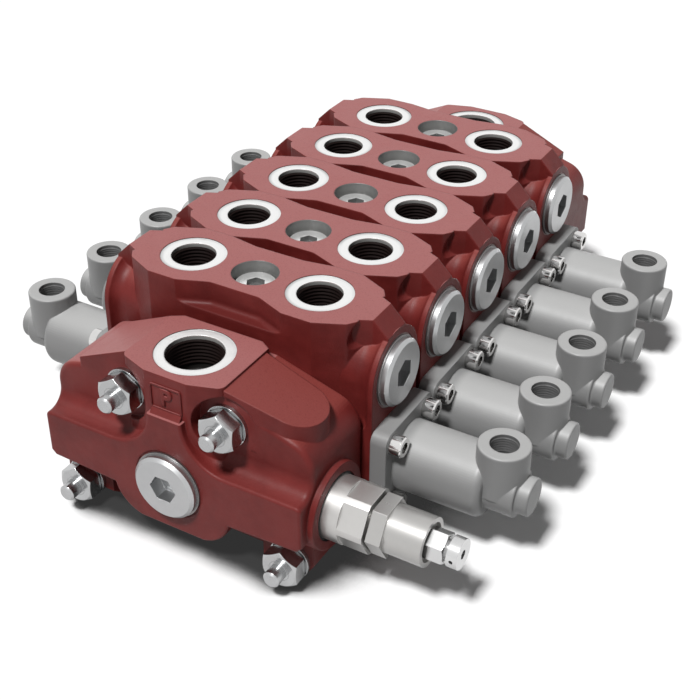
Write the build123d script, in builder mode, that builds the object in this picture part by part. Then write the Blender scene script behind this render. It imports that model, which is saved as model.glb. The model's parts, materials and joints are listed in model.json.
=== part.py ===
from build123d import *
from math import cos, pi, radians, sin, tan
import os

# A sectional directional control valve: an inlet section, working sections and an outlet section,
# clamped together by four tie rods. Each working section holds one spool with a pilot cap at each end.
# Sizes are in millimetres. X runs along the spools, Y along the stack and Z up.
# The origin is on the foot plane, in the middle of the mounting holes.

# Stack
section_count = 5
pitch = 46.0                 # width of one working section between its mating faces
stack_half = section_count * pitch / 2
section_places = [pitch * (i - (section_count - 1) / 2) for i in range(section_count)]

# Working section casting
side_x = 72.5                # end faces that carry the caps and the side plugs
port_level = 108.0           # face of the service ports
section_base = 3.0           # underside
base_corner = 4.0            # slanted lower corners of the core
corner_start = 29.5          # from the end face to where a top corner is scooped out
knee_in = 15.5               # the bend in the scooped corner, from the end face
knee_depth = 6.5             # and from the mating face
tip_in = 10.5                # the end of the scooped corner and of the core, from the end face
tip_half = 9.0               # half the width left there
corner_floor = 60.0          # lowest level of the scoop
corner_blend = 9.0
knee_round = 3.0
waist_half = 13.0            # flat part of the waist between the service ports
waist_start = 28.0
front_waist = 6.0            # depth of the waist in the front mating face
rear_waist = 2.6
waist_floor = 96.5
waist_round = 6.0
waist_blend = 2.0
tab_half = 8.0               # half width of the end tab of the top face
tab_in = 7.5                 # from the end face to the tab's edge
tab_root_half = 12.0         # the tab widens to this at its root
tab_root = 5.0               # which lies this far inside the end of the core
tab_depth = 15.0             # from the top face into the neck
pad_half = 21.0              # half width of the end pads, and the radius of their round tops
neck_half = 17.5             # what is left of the pad's round top in the hollow behind its rim
neck_hollow = 7.0            # radius of that hollow
neck_in = 8.5                # from the end face to the middle of the hollow
neck_foot = 64.0             # the hollow runs out at this level
neck_skin = 0.2              # left on the neck for the hollow to cut
neck_length = 14.0           # from the hollow into the core

# Spool bore and its grooves, measured along X from the middle of the section
spool_level = 37.0
bore_radius = 8.0
groove_radius = 11.0
feed_groove = (11.0, 19.0)
service_groove = (24.0, 36.0)
tank_groove = (41.0, 57.0)

# Spool
spool_clearance = 0.03
neck_radius = 5.0
land_overlap = 1.0           # how far each land covers its groove edges at rest
centre_land_gap = 3.0
stroke = 7.0
stop_gap = 0.5               # left between the spring seat and the casting at full stroke
stub_radius = 4.95
stub_length = 6.0
notch_radius = 1.6

# Spring seats and centring springs
seat_radius = 12.0
seat_thickness = 3.0
seat_hole_clearance = 0.05
spring_radius = 9.5
spring_wire = 1.1
spring_turns = 6
seat_gap = 0.1               # between a spring's end and what carries it

# Galleries through the stack
pressure_level = 56.0
tank_level = 27.0
tank_x = 50.0
gallery_radius = 6.5
gallery_seal_radius = 8.4    # middle of the seal groove
gallery_seal_wire = 0.8
groove_play = 0.3            # side play of a seal ring in its groove

# Service ports, G 1/2, and the passages below them
service_x = 33.9
service_radius = 10.478
service_depth = 16.0
service_spot = 15.5
spot_depth = 0.4
passage_x = 42.0
passage_radius = 6.5
passage_bend = 62.0
lower_passage_radius = 6.0

# Load check valve in the middle of each section
check_seat_level = 66.0
check_seat_radius = 6.0
check_chamber_radius = 9.0
check_recess_radius = 11.0
check_recess_depth = 9.0
check_plug_play = 0.05
check_plug_head = 4.0
check_plug_length = 12.0
check_head_radius = 10.6
check_socket = 8.0
check_socket_depth = 3.0
check_lift = 4.0
poppet_gap = 0.2             # cone to seat edge, so that the drawn faces don't touch
poppet_tip_radius = 2.5
poppet_head_radius = 7.3
poppet_rim = 1.5
guide_radius = 5.0
guide_clearance = 0.05
guide_entry = 5.0            # how far the stem is in its guide at rest
guide_spare = 1.0            # depth left above the stem when the valve is open
check_spring_radius = 6.2
check_spring_wire = 0.6
check_spring_turns = 5
bridge_level = 76.0
bridge_radius = 3.5

# Side plugs and end plugs, G 3/4 with collar
plug_level = 80.0
plug_thread_radius = 13.22
plug_thread_play = 0.06
plug_thread_length = 13.0
plug_hole_depth = 16.0
plug_spot_radius = 17.5
collar_radius = 15.9
collar_height = 3.8
collar_edge = 1.4
plug_socket = 12.0
plug_socket_depth = 6.5
ring_thickness = 1.0
ring_radius = 16.7
plug_cavity_radius = 9.0
end_plug_turn = 30.0         # in degrees, how far the end plugs are screwed round

# Tie rods, M10, with nuts and washers
rod_radius = 5.0
rod_hole_radius = 5.25
upper_rod = (26.5, 74.0)     # X and Z
lower_rod = (56.3, 12.3)
rod_tip_radius = 4.0
rod_tip_length = 7.0         # beyond the nut
rod_edge = 0.8
nut_flats = 17.0
nut_height = 8.0
nut_thread_play = 0.05
nut_chamfer = 30.0           # in degrees
hexagon_face = 0.96          # round end face of a nut against its width across flats
washer_radius = 10.0
washer_thickness = 2.0
washer_play = 1.0            # between a lower washer and the wall of its pocket

# Inlet and outlet castings
end_depth = 40.0             # from the mating face to the wall under the nuts
end_top = 93.0
end_half = 68.0
port_half = 26.0             # half the width of the level top round the main port
port_drop = 7.5              # from the level top down to the shoulders
shoulder_level = 73.0        # where the slanted shoulder would meet the flank
shoulder_round = 14.0        # round between the two
wall_round = 2.5             # edge between the shoulders and the wall
slab_in = 15.5               # from the flank to the end of the raised slab on a shoulder
slab_level = 81.0            # and its level there
foot_corner = (8.0, 12.0)
foot_width = 26.0
foot_front = (9.0, 8.0)      # how far and how high the front edge of each foot is cut back
foot_clear = 15.0            # height of the underside between the feet
foot_rail = 20.0             # depth of the foot rail along the mating face
mount_x = 36.0
mount_in = 10.0              # from the mating face to the mounting holes
mount_radius = 5.0           # M10
mount_depth = 14.0
top_notch = (20.7, 3.6, 6.9) # half width of the top's back edge, and its distance from the mating face
column_floor = 50.0          # the column below the port reaches down into the front plate
column_step = 2.0            # how far the column stands off the wall at its sides
column_proud = 7.0           # and in its middle
column_half = 11.0
column_round = 4.0
column_ramp = 3.0            # height of the slope between the column and the plate's hump
plate_proud = 10.5           # the front plate stands this far off the wall
plate_back = 5.0             # and reaches this far into it
hump_half = 9.0              # half width of the plate's hump between the upper nuts
hump_radius = 21.0           # the hollow sides of the hump
plate_top = 52.0
plate_low = (31.0, 26.0)     # the lower outline, from its end to its middle
plate_belly = (25.0, 16.0)
plate_base = (17.0, 12.0)
plate_heel = 27.5
plate_corner = 2.5
plate_edge = 1.2             # round along the front outline
plate_blend = 8.0            # hollow between the plate's top and the wall
nut_pocket_radius = 14.5
lobe_slope = 15.1            # in degrees
lobe_in = 16.5               # from the flank to the middle of the lobe's round end
lobe_drop = 1.2              # from the level top to the lobe
lobe_radius = 14.0
lobe_root_half = 16.5
lobe_height = 24.0
end_port_radius = 13.22      # G 3/4
end_port_depth = 18.0
end_port_spot = 18.0
end_port_in = 25.0           # from the mating face to the port
end_passage_radius = 10.0
end_plug_level = 37.5
gallery_beyond = 10.0        # how far the tank galleries run past the port's axis
cross_radius = 6.0

# Relief valve, along X in the inlet section
relief_boss_radius = 20.5
relief_boss_proud = 3.0      # from the flank
relief_recess = 2.0
relief_recess_radius = 16.0
relief_thread_radius = 13.0
relief_thread_length = 21.0  # from the boss inwards
relief_nose_radius = 10.0
relief_nose_length = 51.0
relief_play = 0.06
relief_bar_radius = 14.8
relief_collar = 8.0          # this and the next five are measured outwards from the boss
relief_body_out = 20.0
relief_hex_out = 28.0
relief_sleeve_out = 45.5
relief_spigot_out = 9.0
relief_adjuster_out = 24.0
relief_body_flats = 27.0
relief_groove = 1.0
relief_groove_radius = 11.6
relief_hex_flats = 24.0
relief_sleeve_radius = 11.2
relief_chamber_radius = 8.5
relief_seat_wall = 6.0       # at the end of the nose
relief_seat_hole = 4.0
relief_spring_radius = 5.0
relief_spring_wire = 0.9
relief_spring_turns = 10
relief_guide_length = 9.0
relief_seat_disc = 4.0
adjuster_radius = 4.0
adjuster_play = 0.05
lock_nut_flats = 13.0
lock_nut_height = 10.0
adjuster_head_radius = 7.0
adjuster_head_length = 5.0
adjuster_neck = 1.5
adjuster_socket = 4.0
relief_ports = 4
relief_port_in = 18.0        # from the end of the nose
relief_port_radius = 2.5
sleeve_play = 0.7            # between the spring and the sleeve's bore
sleeve_end_wall = 4.5
sleeve_mouth_radius = 9.0    # recess in the sleeve's end, where the lock nut sits
sleeve_mouth = 2.0
spring_seat_play = 0.3
relief_cone_gap = 0.2        # cone to seat edge
relief_cone_blunt = 1.0
relief_cone_radius = 6.0
relief_cone_length = 6.0
relief_neck_length = 2.0
relief_stem_radius = 3.5
relief_stem_length = 4.0
adjuster_socket_depth = 3.0
seal_hole_radius = 0.9

# Pilot caps
flange_side = 44.6
flange_thickness = 8.0
flange_corner = 5.0
barrel_radius = 16.8
barrel_end = 122.5
barrel_round = 4.0
chamber_radius = 13.0
chamber_depth = 39.5
boss_x = 126.3
boss_radius = 12.0
boss_rim = 60.5
boss_round = 1.0
pilot_radius = 6.578         # G 1/4
pilot_depth = 12.0
pilot_passage = 2.5
end_boss_radius = 11.5
end_boss_end = 136.5
end_disc_radius = 9.0
cap_end = 142.4
cap_seal_radius = 14.6

# Cap screws, M6
screw_spacing = 32.0
screw_radius = 3.0
screw_play = 0.05
screw_hole_radius = 3.3
screw_head_radius = 5.0
screw_head_height = 6.0
screw_socket = 5.0
screw_socket_depth = 3.0
screw_grip = 8.5             # length of thread in the casting
screw_hole_extra = 1.2
screw_edge = 0.6              # chamfer of the heads

edge_play = 0.01             # for picking edges by their place
half_pitch = pitch / 2
core_half = side_x - tip_in
chamber_end = side_x + chamber_depth
shoulder = side_x + stroke + stop_gap
seat_face = shoulder + seat_thickness
relief_y = -stack_half - end_port_in
relief_face = end_half + relief_boss_proud
relief_step_x = relief_face - relief_thread_length
relief_nose_x = relief_face - relief_nose_length
relief_chamber_start = relief_nose_x + relief_seat_wall
relief_port_x = relief_nose_x + relief_port_in
relief_collar_end = relief_face + relief_collar
relief_body_end = relief_face + relief_body_out
relief_hex_end = relief_face + relief_hex_out
relief_sleeve_end = relief_face + relief_sleeve_out
relief_spigot_start = relief_face + relief_spigot_out
adjuster_inner = relief_face + relief_adjuster_out
screw_offsets = [(sy * screw_spacing / 2, sz * screw_spacing / 2) for sy in (-1, 1) for sz in (-1, 1)]
rod_places = [(sx * x, z) for x, z in (upper_rod, lower_rod) for sx in (-1, 1)]
nut_seat = stack_half + end_depth
rod_end = nut_seat + washer_thickness + nut_height + rod_tip_length
x_way = (1, 0, 0)
y_way = (0, 1, 0)
z_way = (0, 0, 1)
down = (0, 0, -1)


def against(way):
    """The direction opposite to way."""
    return tuple(-v for v in way)


def bar(start, way, radius, length, mode=Mode.ADD):
    """A round bar, or with Mode.SUBTRACT a round hole, from start along way."""
    with BuildSketch(Plane(origin=start, z_dir=way)) as disc:
        Circle(radius)
    extrude(disc.sketch, amount=length, mode=mode)


def drill(start, way, radius, depth):
    """A round hole from start along way."""
    bar(start, way, radius, depth, Mode.SUBTRACT)


def hexagon(start, way, flats, length, mode=Mode.ADD):
    """A hexagonal bar or socket from start along way."""
    with BuildSketch(Plane(origin=start, z_dir=way)) as hexagon_end:
        RegularPolygon(flats / 2, 6, major_radius=False)
    extrude(hexagon_end.sketch, amount=length, mode=mode)


def turned(outline, origin, way, mode=Mode.ADD):
    """A turned form: the outline's points are distances along way and radii."""
    side = x_way if way[1] else (0, -1, 0)
    with BuildSketch(Plane(origin=origin, x_dir=way, z_dir=side)) as half_section:
        with BuildLine():
            Polyline(*outline, close=True)
        make_face()
    revolve(half_section.sketch, axis=Axis(origin, way), mode=mode)


def seal_groove(centre, way, radius, wire):
    """A flat-bottomed groove, as deep as the seal ring is thick, cut from the face at centre."""
    half = wire + groove_play
    outline = [(0, radius - half), (2 * wire, radius - half), (2 * wire, radius + half), (0, radius + half)]
    turned(outline, centre, way, Mode.SUBTRACT)


def spring(start, way, length, radius, wire, turns):
    """A coil spring between two flat seats."""
    reach = wire + seat_gap
    foot = Vector(*start) + Vector(*way) * reach
    height = length - 2 * reach
    with BuildLine() as path:
        Helix(height / turns, height, radius, center=foot, direction=way)
    with BuildSketch(Plane(origin=path.line @ 0, z_dir=path.line % 0)) as wire_end:
        Circle(wire)
    sweep(wire_end.sketch, path=path.line)


def chamfered_hexagon(start, way, flats, length, both_ends=True):
    """A hexagon whose corners are turned down at 30 degrees, as on a nut."""
    hexagon(start, way, flats, length)
    corner = flats / 2 / cos(pi / 6)
    face = flats / 2 * hexagon_face
    drop = (corner - face) * tan(radians(nut_chamfer))
    near = face if both_ends else corner
    outline = [(0, 0), (0, near), (drop, corner), (length - drop, corner), (length, face), (length, 0)]
    if not both_ends:
        outline.remove((drop, corner))
    turned(outline, start, way, Mode.INTERSECT)


def placed(part, y):
    """A copy of a part made at the middle of the stack, moved along the stack."""
    return part.moved(Location((0, y, 0)))


def copies(part, spots):
    """Copies of a part made at the origin along Z, one for each pair of a place and a direction."""
    return Compound([part.moved(Plane(origin=place, z_dir=way).location) for place, way in spots])


# Tools that shape the working section: the four scooped top corners and the two waists
with BuildPart() as corner_scoop:
    knee = (side_x - knee_in, knee_depth - half_pitch)
    tip = (side_x - tip_in, -tip_half)
    beyond = (2 * tip[0] - knee[0], 2 * tip[1] - knee[1])
    outer_x = side_x + tip_in
    with BuildSketch(Plane.XY.offset(corner_floor)):
        with BuildLine():
            Polyline(
                (side_x - corner_start, -half_pitch),
                knee,
                tip,
                beyond,
                (outer_x, beyond[1]),
                (outer_x, -pitch),
                (side_x - corner_start, -pitch),
                close=True,
            )
        make_face()
    extrude(amount=port_level)
    fillet(corner_scoop.edges().filter_by(Axis.Z).sort_by_distance((*knee, port_level))[0], knee_round)
    floor_edges = corner_scoop.edges().group_by(Axis.Z)[0]
    fillet(
        floor_edges.filter_by(
            lambda e: -half_pitch < e.center().Y < beyond[1] - edge_play and e.center().X < beyond[0]
        ),
        corner_blend,
    )
    mirror(about=Plane.XZ)
    mirror(about=Plane.YZ)


def waist_scoop(side, depth):
    """The waist cut in one mating face; side is -1 for the front face and 1 for the rear one."""
    with BuildPart() as scoop:
        with BuildSketch(Plane.XY.offset(waist_floor)):
            with BuildLine():
                Polyline(
                    (waist_start, side * half_pitch),
                    (waist_half, side * (half_pitch - depth)),
                    (-waist_half, side * (half_pitch - depth)),
                    (-waist_start, side * half_pitch),
                    (-waist_start, side * pitch),
                    (waist_start, side * pitch),
                    close=True,
                )
            make_face()
        extrude(amount=port_level)
        uprights = scoop.edges().filter_by(Axis.Z)
        fillet(uprights.filter_by(lambda e: abs(e.center().Y) < half_pitch - depth / 2), waist_round)
        floor_edges = scoop.edges().group_by(Axis.Z)[0]
        fillet(floor_edges.filter_by(lambda e: abs(e.center().Y) < half_pitch), waist_blend)
    return scoop.part


front_scoop = waist_scoop(-1, front_waist)
rear_scoop = waist_scoop(1, rear_waist)

# The hollow behind the rim of each end pad: it runs over the pad's neck like a rope over a wheel
with BuildPart() as neck_scoop:
    hollow_x = side_x - neck_in
    hollow_y = neck_half + neck_hollow
    with BuildLine() as over_neck:
        rise = Line((hollow_x, -hollow_y, neck_foot), (hollow_x, -hollow_y, plug_level))
        arch_end = (hollow_x, hollow_y, plug_level)
        arch = ThreePointArc(rise @ 1, (hollow_x, 0, plug_level + hollow_y), arch_end)
        Line(arch @ 1, (hollow_x, hollow_y, neck_foot))
    with BuildSketch(Plane(origin=over_neck.line @ 0)):
        Circle(neck_hollow)
    sweep(path=over_neck.line)
    with Locations((hollow_x, -hollow_y, neck_foot), (hollow_x, hollow_y, neck_foot)):
        Sphere(neck_hollow)
    mirror(about=Plane.YZ)


def spool_passages():
    """The spool bore, its grooves and all passages of one working section."""
    drill((-side_x, 0, spool_level), x_way, bore_radius, 2 * side_x)
    for sx in (-1, 1):
        for start, end in (feed_groove, service_groove, tank_groove):
            drill((sx * start, 0, spool_level), (sx, 0, 0), groove_radius, end - start)
        feed_x = sx * sum(feed_groove) / 2
        drill((0, 0, bridge_level), (sx, 0, 0), bridge_radius, abs(feed_x) + bridge_radius)
        drill((feed_x, 0, bridge_level), down, bridge_radius, bridge_level - spool_level)
        drill((sx * passage_x, 0, port_level - service_depth), down, passage_radius,
              port_level - service_depth - passage_bend)
        with Locations((sx * passage_x, 0, passage_bend)):
            Sphere(passage_radius, mode=Mode.SUBTRACT)
        groove_x = sx * sum(service_groove) / 2
        slant = Vector(groove_x - sx * passage_x, 0, spool_level - passage_bend)
        drill((sx * passage_x, 0, passage_bend), slant, lower_passage_radius, slant.length)
        drill((sx * tank_x, -half_pitch, tank_level), y_way, gallery_radius, pitch)
    drill((0, -half_pitch, pressure_level), y_way, gallery_radius, pitch)


def gallery_grooves(y):
    """Seal grooves round the three galleries, in a mating face that looks along +Y."""
    for x, z in ((0, pressure_level), (-tank_x, tank_level), (tank_x, tank_level)):
        seal_groove((x, y, z), against(y_way), gallery_seal_radius, gallery_seal_wire)


with BuildPart() as section:
    with BuildSketch(Plane.XZ):
        with BuildLine():
            Polyline(
                (core_half, port_level),
                (core_half, section_base + base_corner),
                (core_half - base_corner, section_base),
                (base_corner - core_half, section_base),
                (-core_half, section_base + base_corner),
                (-core_half, port_level),
                close=True,
            )
        make_face()
    extrude(amount=half_pitch, both=True)
    add(corner_scoop.part, mode=Mode.SUBTRACT)
    add(front_scoop, mode=Mode.SUBTRACT)
    add(rear_scoop, mode=Mode.SUBTRACT)
    pad_foot = spool_level - flange_side / 2
    for x, half_width, depth in (
        (side_x, pad_half, neck_in),
        (hollow_x, neck_half + neck_skin, neck_length),
    ):
        for sx in (-1, 1):
            with BuildSketch(Plane(origin=(sx * x, 0, plug_level), x_dir=(0, -sx, 0), z_dir=(-sx, 0, 0))):
                Circle(half_width)
                Rectangle(2 * half_width, plug_level - pad_foot, align=(Align.CENTER, Align.MAX))
            extrude(amount=depth)
    with Locations((0, 0, pad_foot)):
        Box(2 * hollow_x, 2 * pad_half, corner_floor - pad_foot,
            align=(Align.CENTER, Align.CENTER, Align.MIN))
    add(neck_scoop.part, mode=Mode.SUBTRACT)
    with BuildSketch(Plane.XZ):
        with BuildLine():
            Polyline(
                (0, port_level),
                (side_x - tab_in, port_level),
                (side_x, port_level - tab_in),
                (side_x, plug_level),
                (0, plug_level),
            )
            mirror(about=Plane.YZ)
        make_face()
    extrude(amount=tab_half, both=True)
    with BuildSketch(Plane.XY.offset(port_level)):
        with BuildLine():
            Polyline((0, tab_root_half), (core_half - tab_root, tab_root_half), (side_x - tab_in, tab_half),
                     (side_x - tab_in, 0))
            mirror(about=Plane.YZ)
            mirror(about=Plane.XZ)
        make_face()
    extrude(amount=-tab_depth)

    spool_passages()
    gallery_grooves(half_pitch)
    for sx in (-1, 1):
        inward = (-sx, 0, 0)
        drill((sx * service_x, 0, port_level), down, service_radius, service_depth)
        drill((sx * service_x, 0, port_level), down, service_spot, spot_depth)
        drill((sx * side_x, 0, plug_level), inward, plug_spot_radius, spot_depth)
        drill((sx * side_x, 0, plug_level), inward, plug_thread_radius, plug_hole_depth)
        drill((sx * side_x, 0, plug_level), inward, plug_cavity_radius, side_x - passage_x)
        for y, z in screw_offsets:
            drill((sx * side_x, y, spool_level + z), inward, screw_radius, screw_grip + screw_hole_extra)
    drill((0, 0, port_level), down, check_recess_radius, check_recess_depth)
    drill((0, 0, port_level), down, check_chamber_radius, port_level - check_seat_level)
    drill((0, 0, check_seat_level), down, check_seat_radius, check_seat_level - pressure_level)
    for x, z in rod_places:
        drill((x, -half_pitch, z), y_way, rod_hole_radius, pitch)


# Spools with their spring seats
spool_radius = bore_radius - spool_clearance
land_ends = [
    0,
    feed_groove[0] - centre_land_gap,
    feed_groove[1] - land_overlap,
    service_groove[0] + land_overlap,
    service_groove[1] - land_overlap,
    tank_groove[0] + land_overlap,
    tank_groove[1] + land_overlap,
    shoulder,
]
right_half = []
for i in range(len(land_ends) - 1):
    radius = spool_radius if i % 2 == 0 else neck_radius
    right_half += [(land_ends[i], radius), (land_ends[i + 1], radius)]
right_half = right_half[1:] + [(shoulder, stub_radius), (shoulder + stub_length, stub_radius)]
left_half = [(-x, radius) for x, radius in reversed(right_half)]
spool_tip = shoulder + stub_length

with BuildPart() as spool:
    turned([(-spool_tip, 0), *left_half, *right_half, (spool_tip, 0)], (0, 0, spool_level), x_way)
    notch_edges = [land_ends[2], land_ends[3], land_ends[4], land_ends[5]]
    for edge in notch_edges:
        for sx in (-1, 1):
            for way in (y_way, against(y_way), z_way, down):
                foot = Vector(sx * edge, 0, spool_level) + Vector(*way) * (bore_radius - notch_radius)
                drill(foot, way, notch_radius, bore_radius)

with BuildPart() as spring_seats:
    for sx in (-1, 1):
        inner = stub_radius + seat_hole_clearance
        outline = [(0, inner), (seat_thickness, inner), (seat_thickness, seat_radius), (0, seat_radius)]
        turned(outline, (sx * shoulder, 0, spool_level), (sx, 0, 0))

with BuildPart() as centring_springs:
    for sx in (-1, 1):
        spring(
            (sx * seat_face, 0, spool_level),
            (sx, 0, 0),
            chamber_end - seat_face,
            spring_radius,
            spring_wire,
            spring_turns,
        )

# Load check valve: plug, poppet and spring
check_plug_foot = port_level - check_recess_depth - check_plug_length
check_plug_top = port_level - check_recess_depth + check_plug_head
stem_top = check_plug_foot + guide_entry
poppet_base = check_seat_level - (check_seat_radius - poppet_gap - poppet_tip_radius)
poppet_shoulder = poppet_base + poppet_head_radius - poppet_tip_radius
poppet_top = poppet_shoulder + poppet_rim

with BuildPart() as check_plug:
    bar((0, 0, check_plug_top), down, check_head_radius, check_plug_head)
    bar((0, 0, check_plug_foot), z_way, check_chamber_radius - check_plug_play, check_plug_length)
    drill((0, 0, check_plug_foot), z_way, guide_radius, guide_entry + check_lift + guide_spare)
    hexagon((0, 0, check_plug_top), down, check_socket, check_socket_depth, Mode.SUBTRACT)
    top_rim = check_plug.edges().filter_by(GeomType.CIRCLE).group_by(Axis.Z)[-1]
    chamfer(top_rim, collar_edge)

with BuildPart() as check_poppet:
    stem = guide_radius - guide_clearance
    turned(
        [
            (poppet_base, 0),
            (poppet_base, poppet_tip_radius),
            (poppet_shoulder, poppet_head_radius),
            (poppet_top, poppet_head_radius),
            (poppet_top, stem),
            (stem_top, stem),
            (stem_top, 0),
        ],
        (0, 0, 0),
        z_way,
    )

with BuildPart() as check_spring:
    spring(
        (0, 0, poppet_top),
        z_way,
        check_plug_foot - poppet_top,
        check_spring_radius,
        check_spring_wire,
        check_spring_turns,
    )


# Collar plug with hex socket and the flat seal ring under its collar, seated at the origin
with BuildPart() as screw_plug:
    collar_top = ring_thickness + collar_height
    bar((0, 0, ring_thickness), z_way, collar_radius, collar_height)
    bar((0, 0, ring_thickness), down, plug_thread_radius - plug_thread_play, plug_thread_length)
    hexagon((0, 0, collar_top), down, plug_socket, plug_socket_depth, Mode.SUBTRACT)
    chamfer(screw_plug.edges().filter_by(GeomType.CIRCLE).sort_by(Axis.Z)[-1], collar_edge)

with BuildPart() as plug_ring:
    inner = plug_thread_radius
    outline = [(0, inner), (ring_thickness, inner), (ring_thickness, ring_radius), (0, ring_radius)]
    turned(outline, (0, 0, 0), z_way)

side_plug_seats = [
    ((sx * (side_x - spot_depth), y, plug_level), (sx, 0, 0)) for sx in (-1, 1) for y in section_places
]
plate_y = nut_seat + plate_proud
end_plug_seats = [((0, sy * (plate_y - spot_depth), end_plug_level), (0, sy, 0)) for sy in (-1, 1)]


# Pilot cap at the right-hand end of a spool; the left-hand one is its mirror image
with BuildPart() as pilot_cap:
    face = Plane.YZ.offset(side_x)
    with BuildSketch(face):
        with Locations((0, spool_level)):
            RectangleRounded(flange_side, flange_side, flange_corner)
    extrude(amount=flange_thickness)
    bar((side_x, 0, spool_level), x_way, barrel_radius, barrel_end - side_x)
    fillet(pilot_cap.edges().filter_by(GeomType.CIRCLE).sort_by(Axis.X)[-1], barrel_round)
    boss_root = barrel_end - barrel_round
    bar((boss_root, 0, spool_level), x_way, end_boss_radius, end_boss_end - boss_root)
    bar((boss_x, 0, spool_level), z_way, boss_radius, boss_rim - spool_level)
    bar((boss_x, 0, spool_level), x_way, end_disc_radius, cap_end - boss_x)
    rim = pilot_cap.edges().filter_by(GeomType.CIRCLE).group_by(Axis.Z)[-1]
    fillet(rim, boss_round)
    end_edges = pilot_cap.edges().filter_by(GeomType.CIRCLE).filter_by(
        lambda e: abs(e.center().X - end_boss_end) < edge_play or abs(e.center().X - cap_end) < edge_play
    )
    fillet(end_edges.filter_by(lambda e: e.radius > end_disc_radius - edge_play), boss_round)
    drill((side_x, 0, spool_level), x_way, chamber_radius, chamber_depth)
    drill((boss_x, 0, boss_rim), down, pilot_radius, pilot_depth)
    drill((boss_x, 0, boss_rim), down, pilot_passage, boss_rim - spool_level)
    drill((chamber_end, 0, spool_level), x_way, pilot_passage, boss_x - chamber_end)
    seal_groove((side_x, 0, spool_level), x_way, cap_seal_radius, gallery_seal_wire)
    for y, z in screw_offsets:
        drill((side_x, y, spool_level + z), x_way, screw_hole_radius, flange_thickness)

# Ring seals, made round the origin
with BuildPart() as cap_seal:
    Torus(cap_seal_radius, gallery_seal_wire)

with BuildPart() as gallery_seal:
    Torus(gallery_seal_radius, gallery_seal_wire)

cap_seal_spots = [
    ((sx * (side_x + gallery_seal_wire), y, spool_level), x_way) for y in section_places for sx in (-1, 1)
]
gallery_seal_spots = [
    ((x, i * pitch - stack_half - gallery_seal_wire, z), y_way)
    for i in range(section_count + 1)
    for x, z in ((0, pressure_level), (-tank_x, tank_level), (tank_x, tank_level))
]

# Cap screw with the underside of its head at the origin
with BuildPart() as cap_screw:
    bar((0, 0, 0), z_way, screw_head_radius, screw_head_height)
    bar((0, 0, 0), down, screw_radius - screw_play, flange_thickness + screw_grip)
    hexagon((0, 0, screw_head_height), down, screw_socket, screw_socket_depth, Mode.SUBTRACT)
    chamfer(cap_screw.edges().filter_by(GeomType.CIRCLE).sort_by(Axis.Z)[-1], screw_edge)

cap_screw_spots = [
    ((sx * (side_x + flange_thickness), y + dy, spool_level + dz), (sx, 0, 0))
    for y in section_places
    for sx in (-1, 1)
    for dy, dz in screw_offsets
]

# Tie rod about the origin, and a washer and a nut that stand on it
with BuildPart() as tie_rod:
    thread_end = nut_seat + washer_thickness + nut_height
    right_half = [(thread_end, rod_radius), (thread_end, rod_tip_radius), (rod_end, rod_tip_radius)]
    left_half = [(-z, radius) for z, radius in reversed(right_half)]
    turned([(-rod_end, 0), *left_half, *right_half, (rod_end, 0)], (0, 0, 0), z_way)
    tips = tie_rod.edges().filter_by(GeomType.CIRCLE).group_by(Axis.Z)
    chamfer(tips[0] + tips[-1], rod_edge)

with BuildPart() as washer:
    inner = rod_hole_radius
    outline = [(0, inner), (washer_thickness, inner), (washer_thickness, washer_radius), (0, washer_radius)]
    turned(outline, (0, 0, 0), z_way)

with BuildPart() as nut:
    chamfered_hexagon((0, 0, 0), z_way, nut_flats, nut_height)
    drill((0, 0, 0), z_way, rod_radius + nut_thread_play, nut_height)

tie_rod_spots = [((x, 0, z), y_way) for x, z in rod_places]
washer_spots = [((x, sy * nut_seat, z), (0, sy, 0)) for x, z in rod_places for sy in (-1, 1)]
nut_spots = [((x, y + way[1] * washer_thickness, z), way) for (x, y, z), way in washer_spots]


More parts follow.
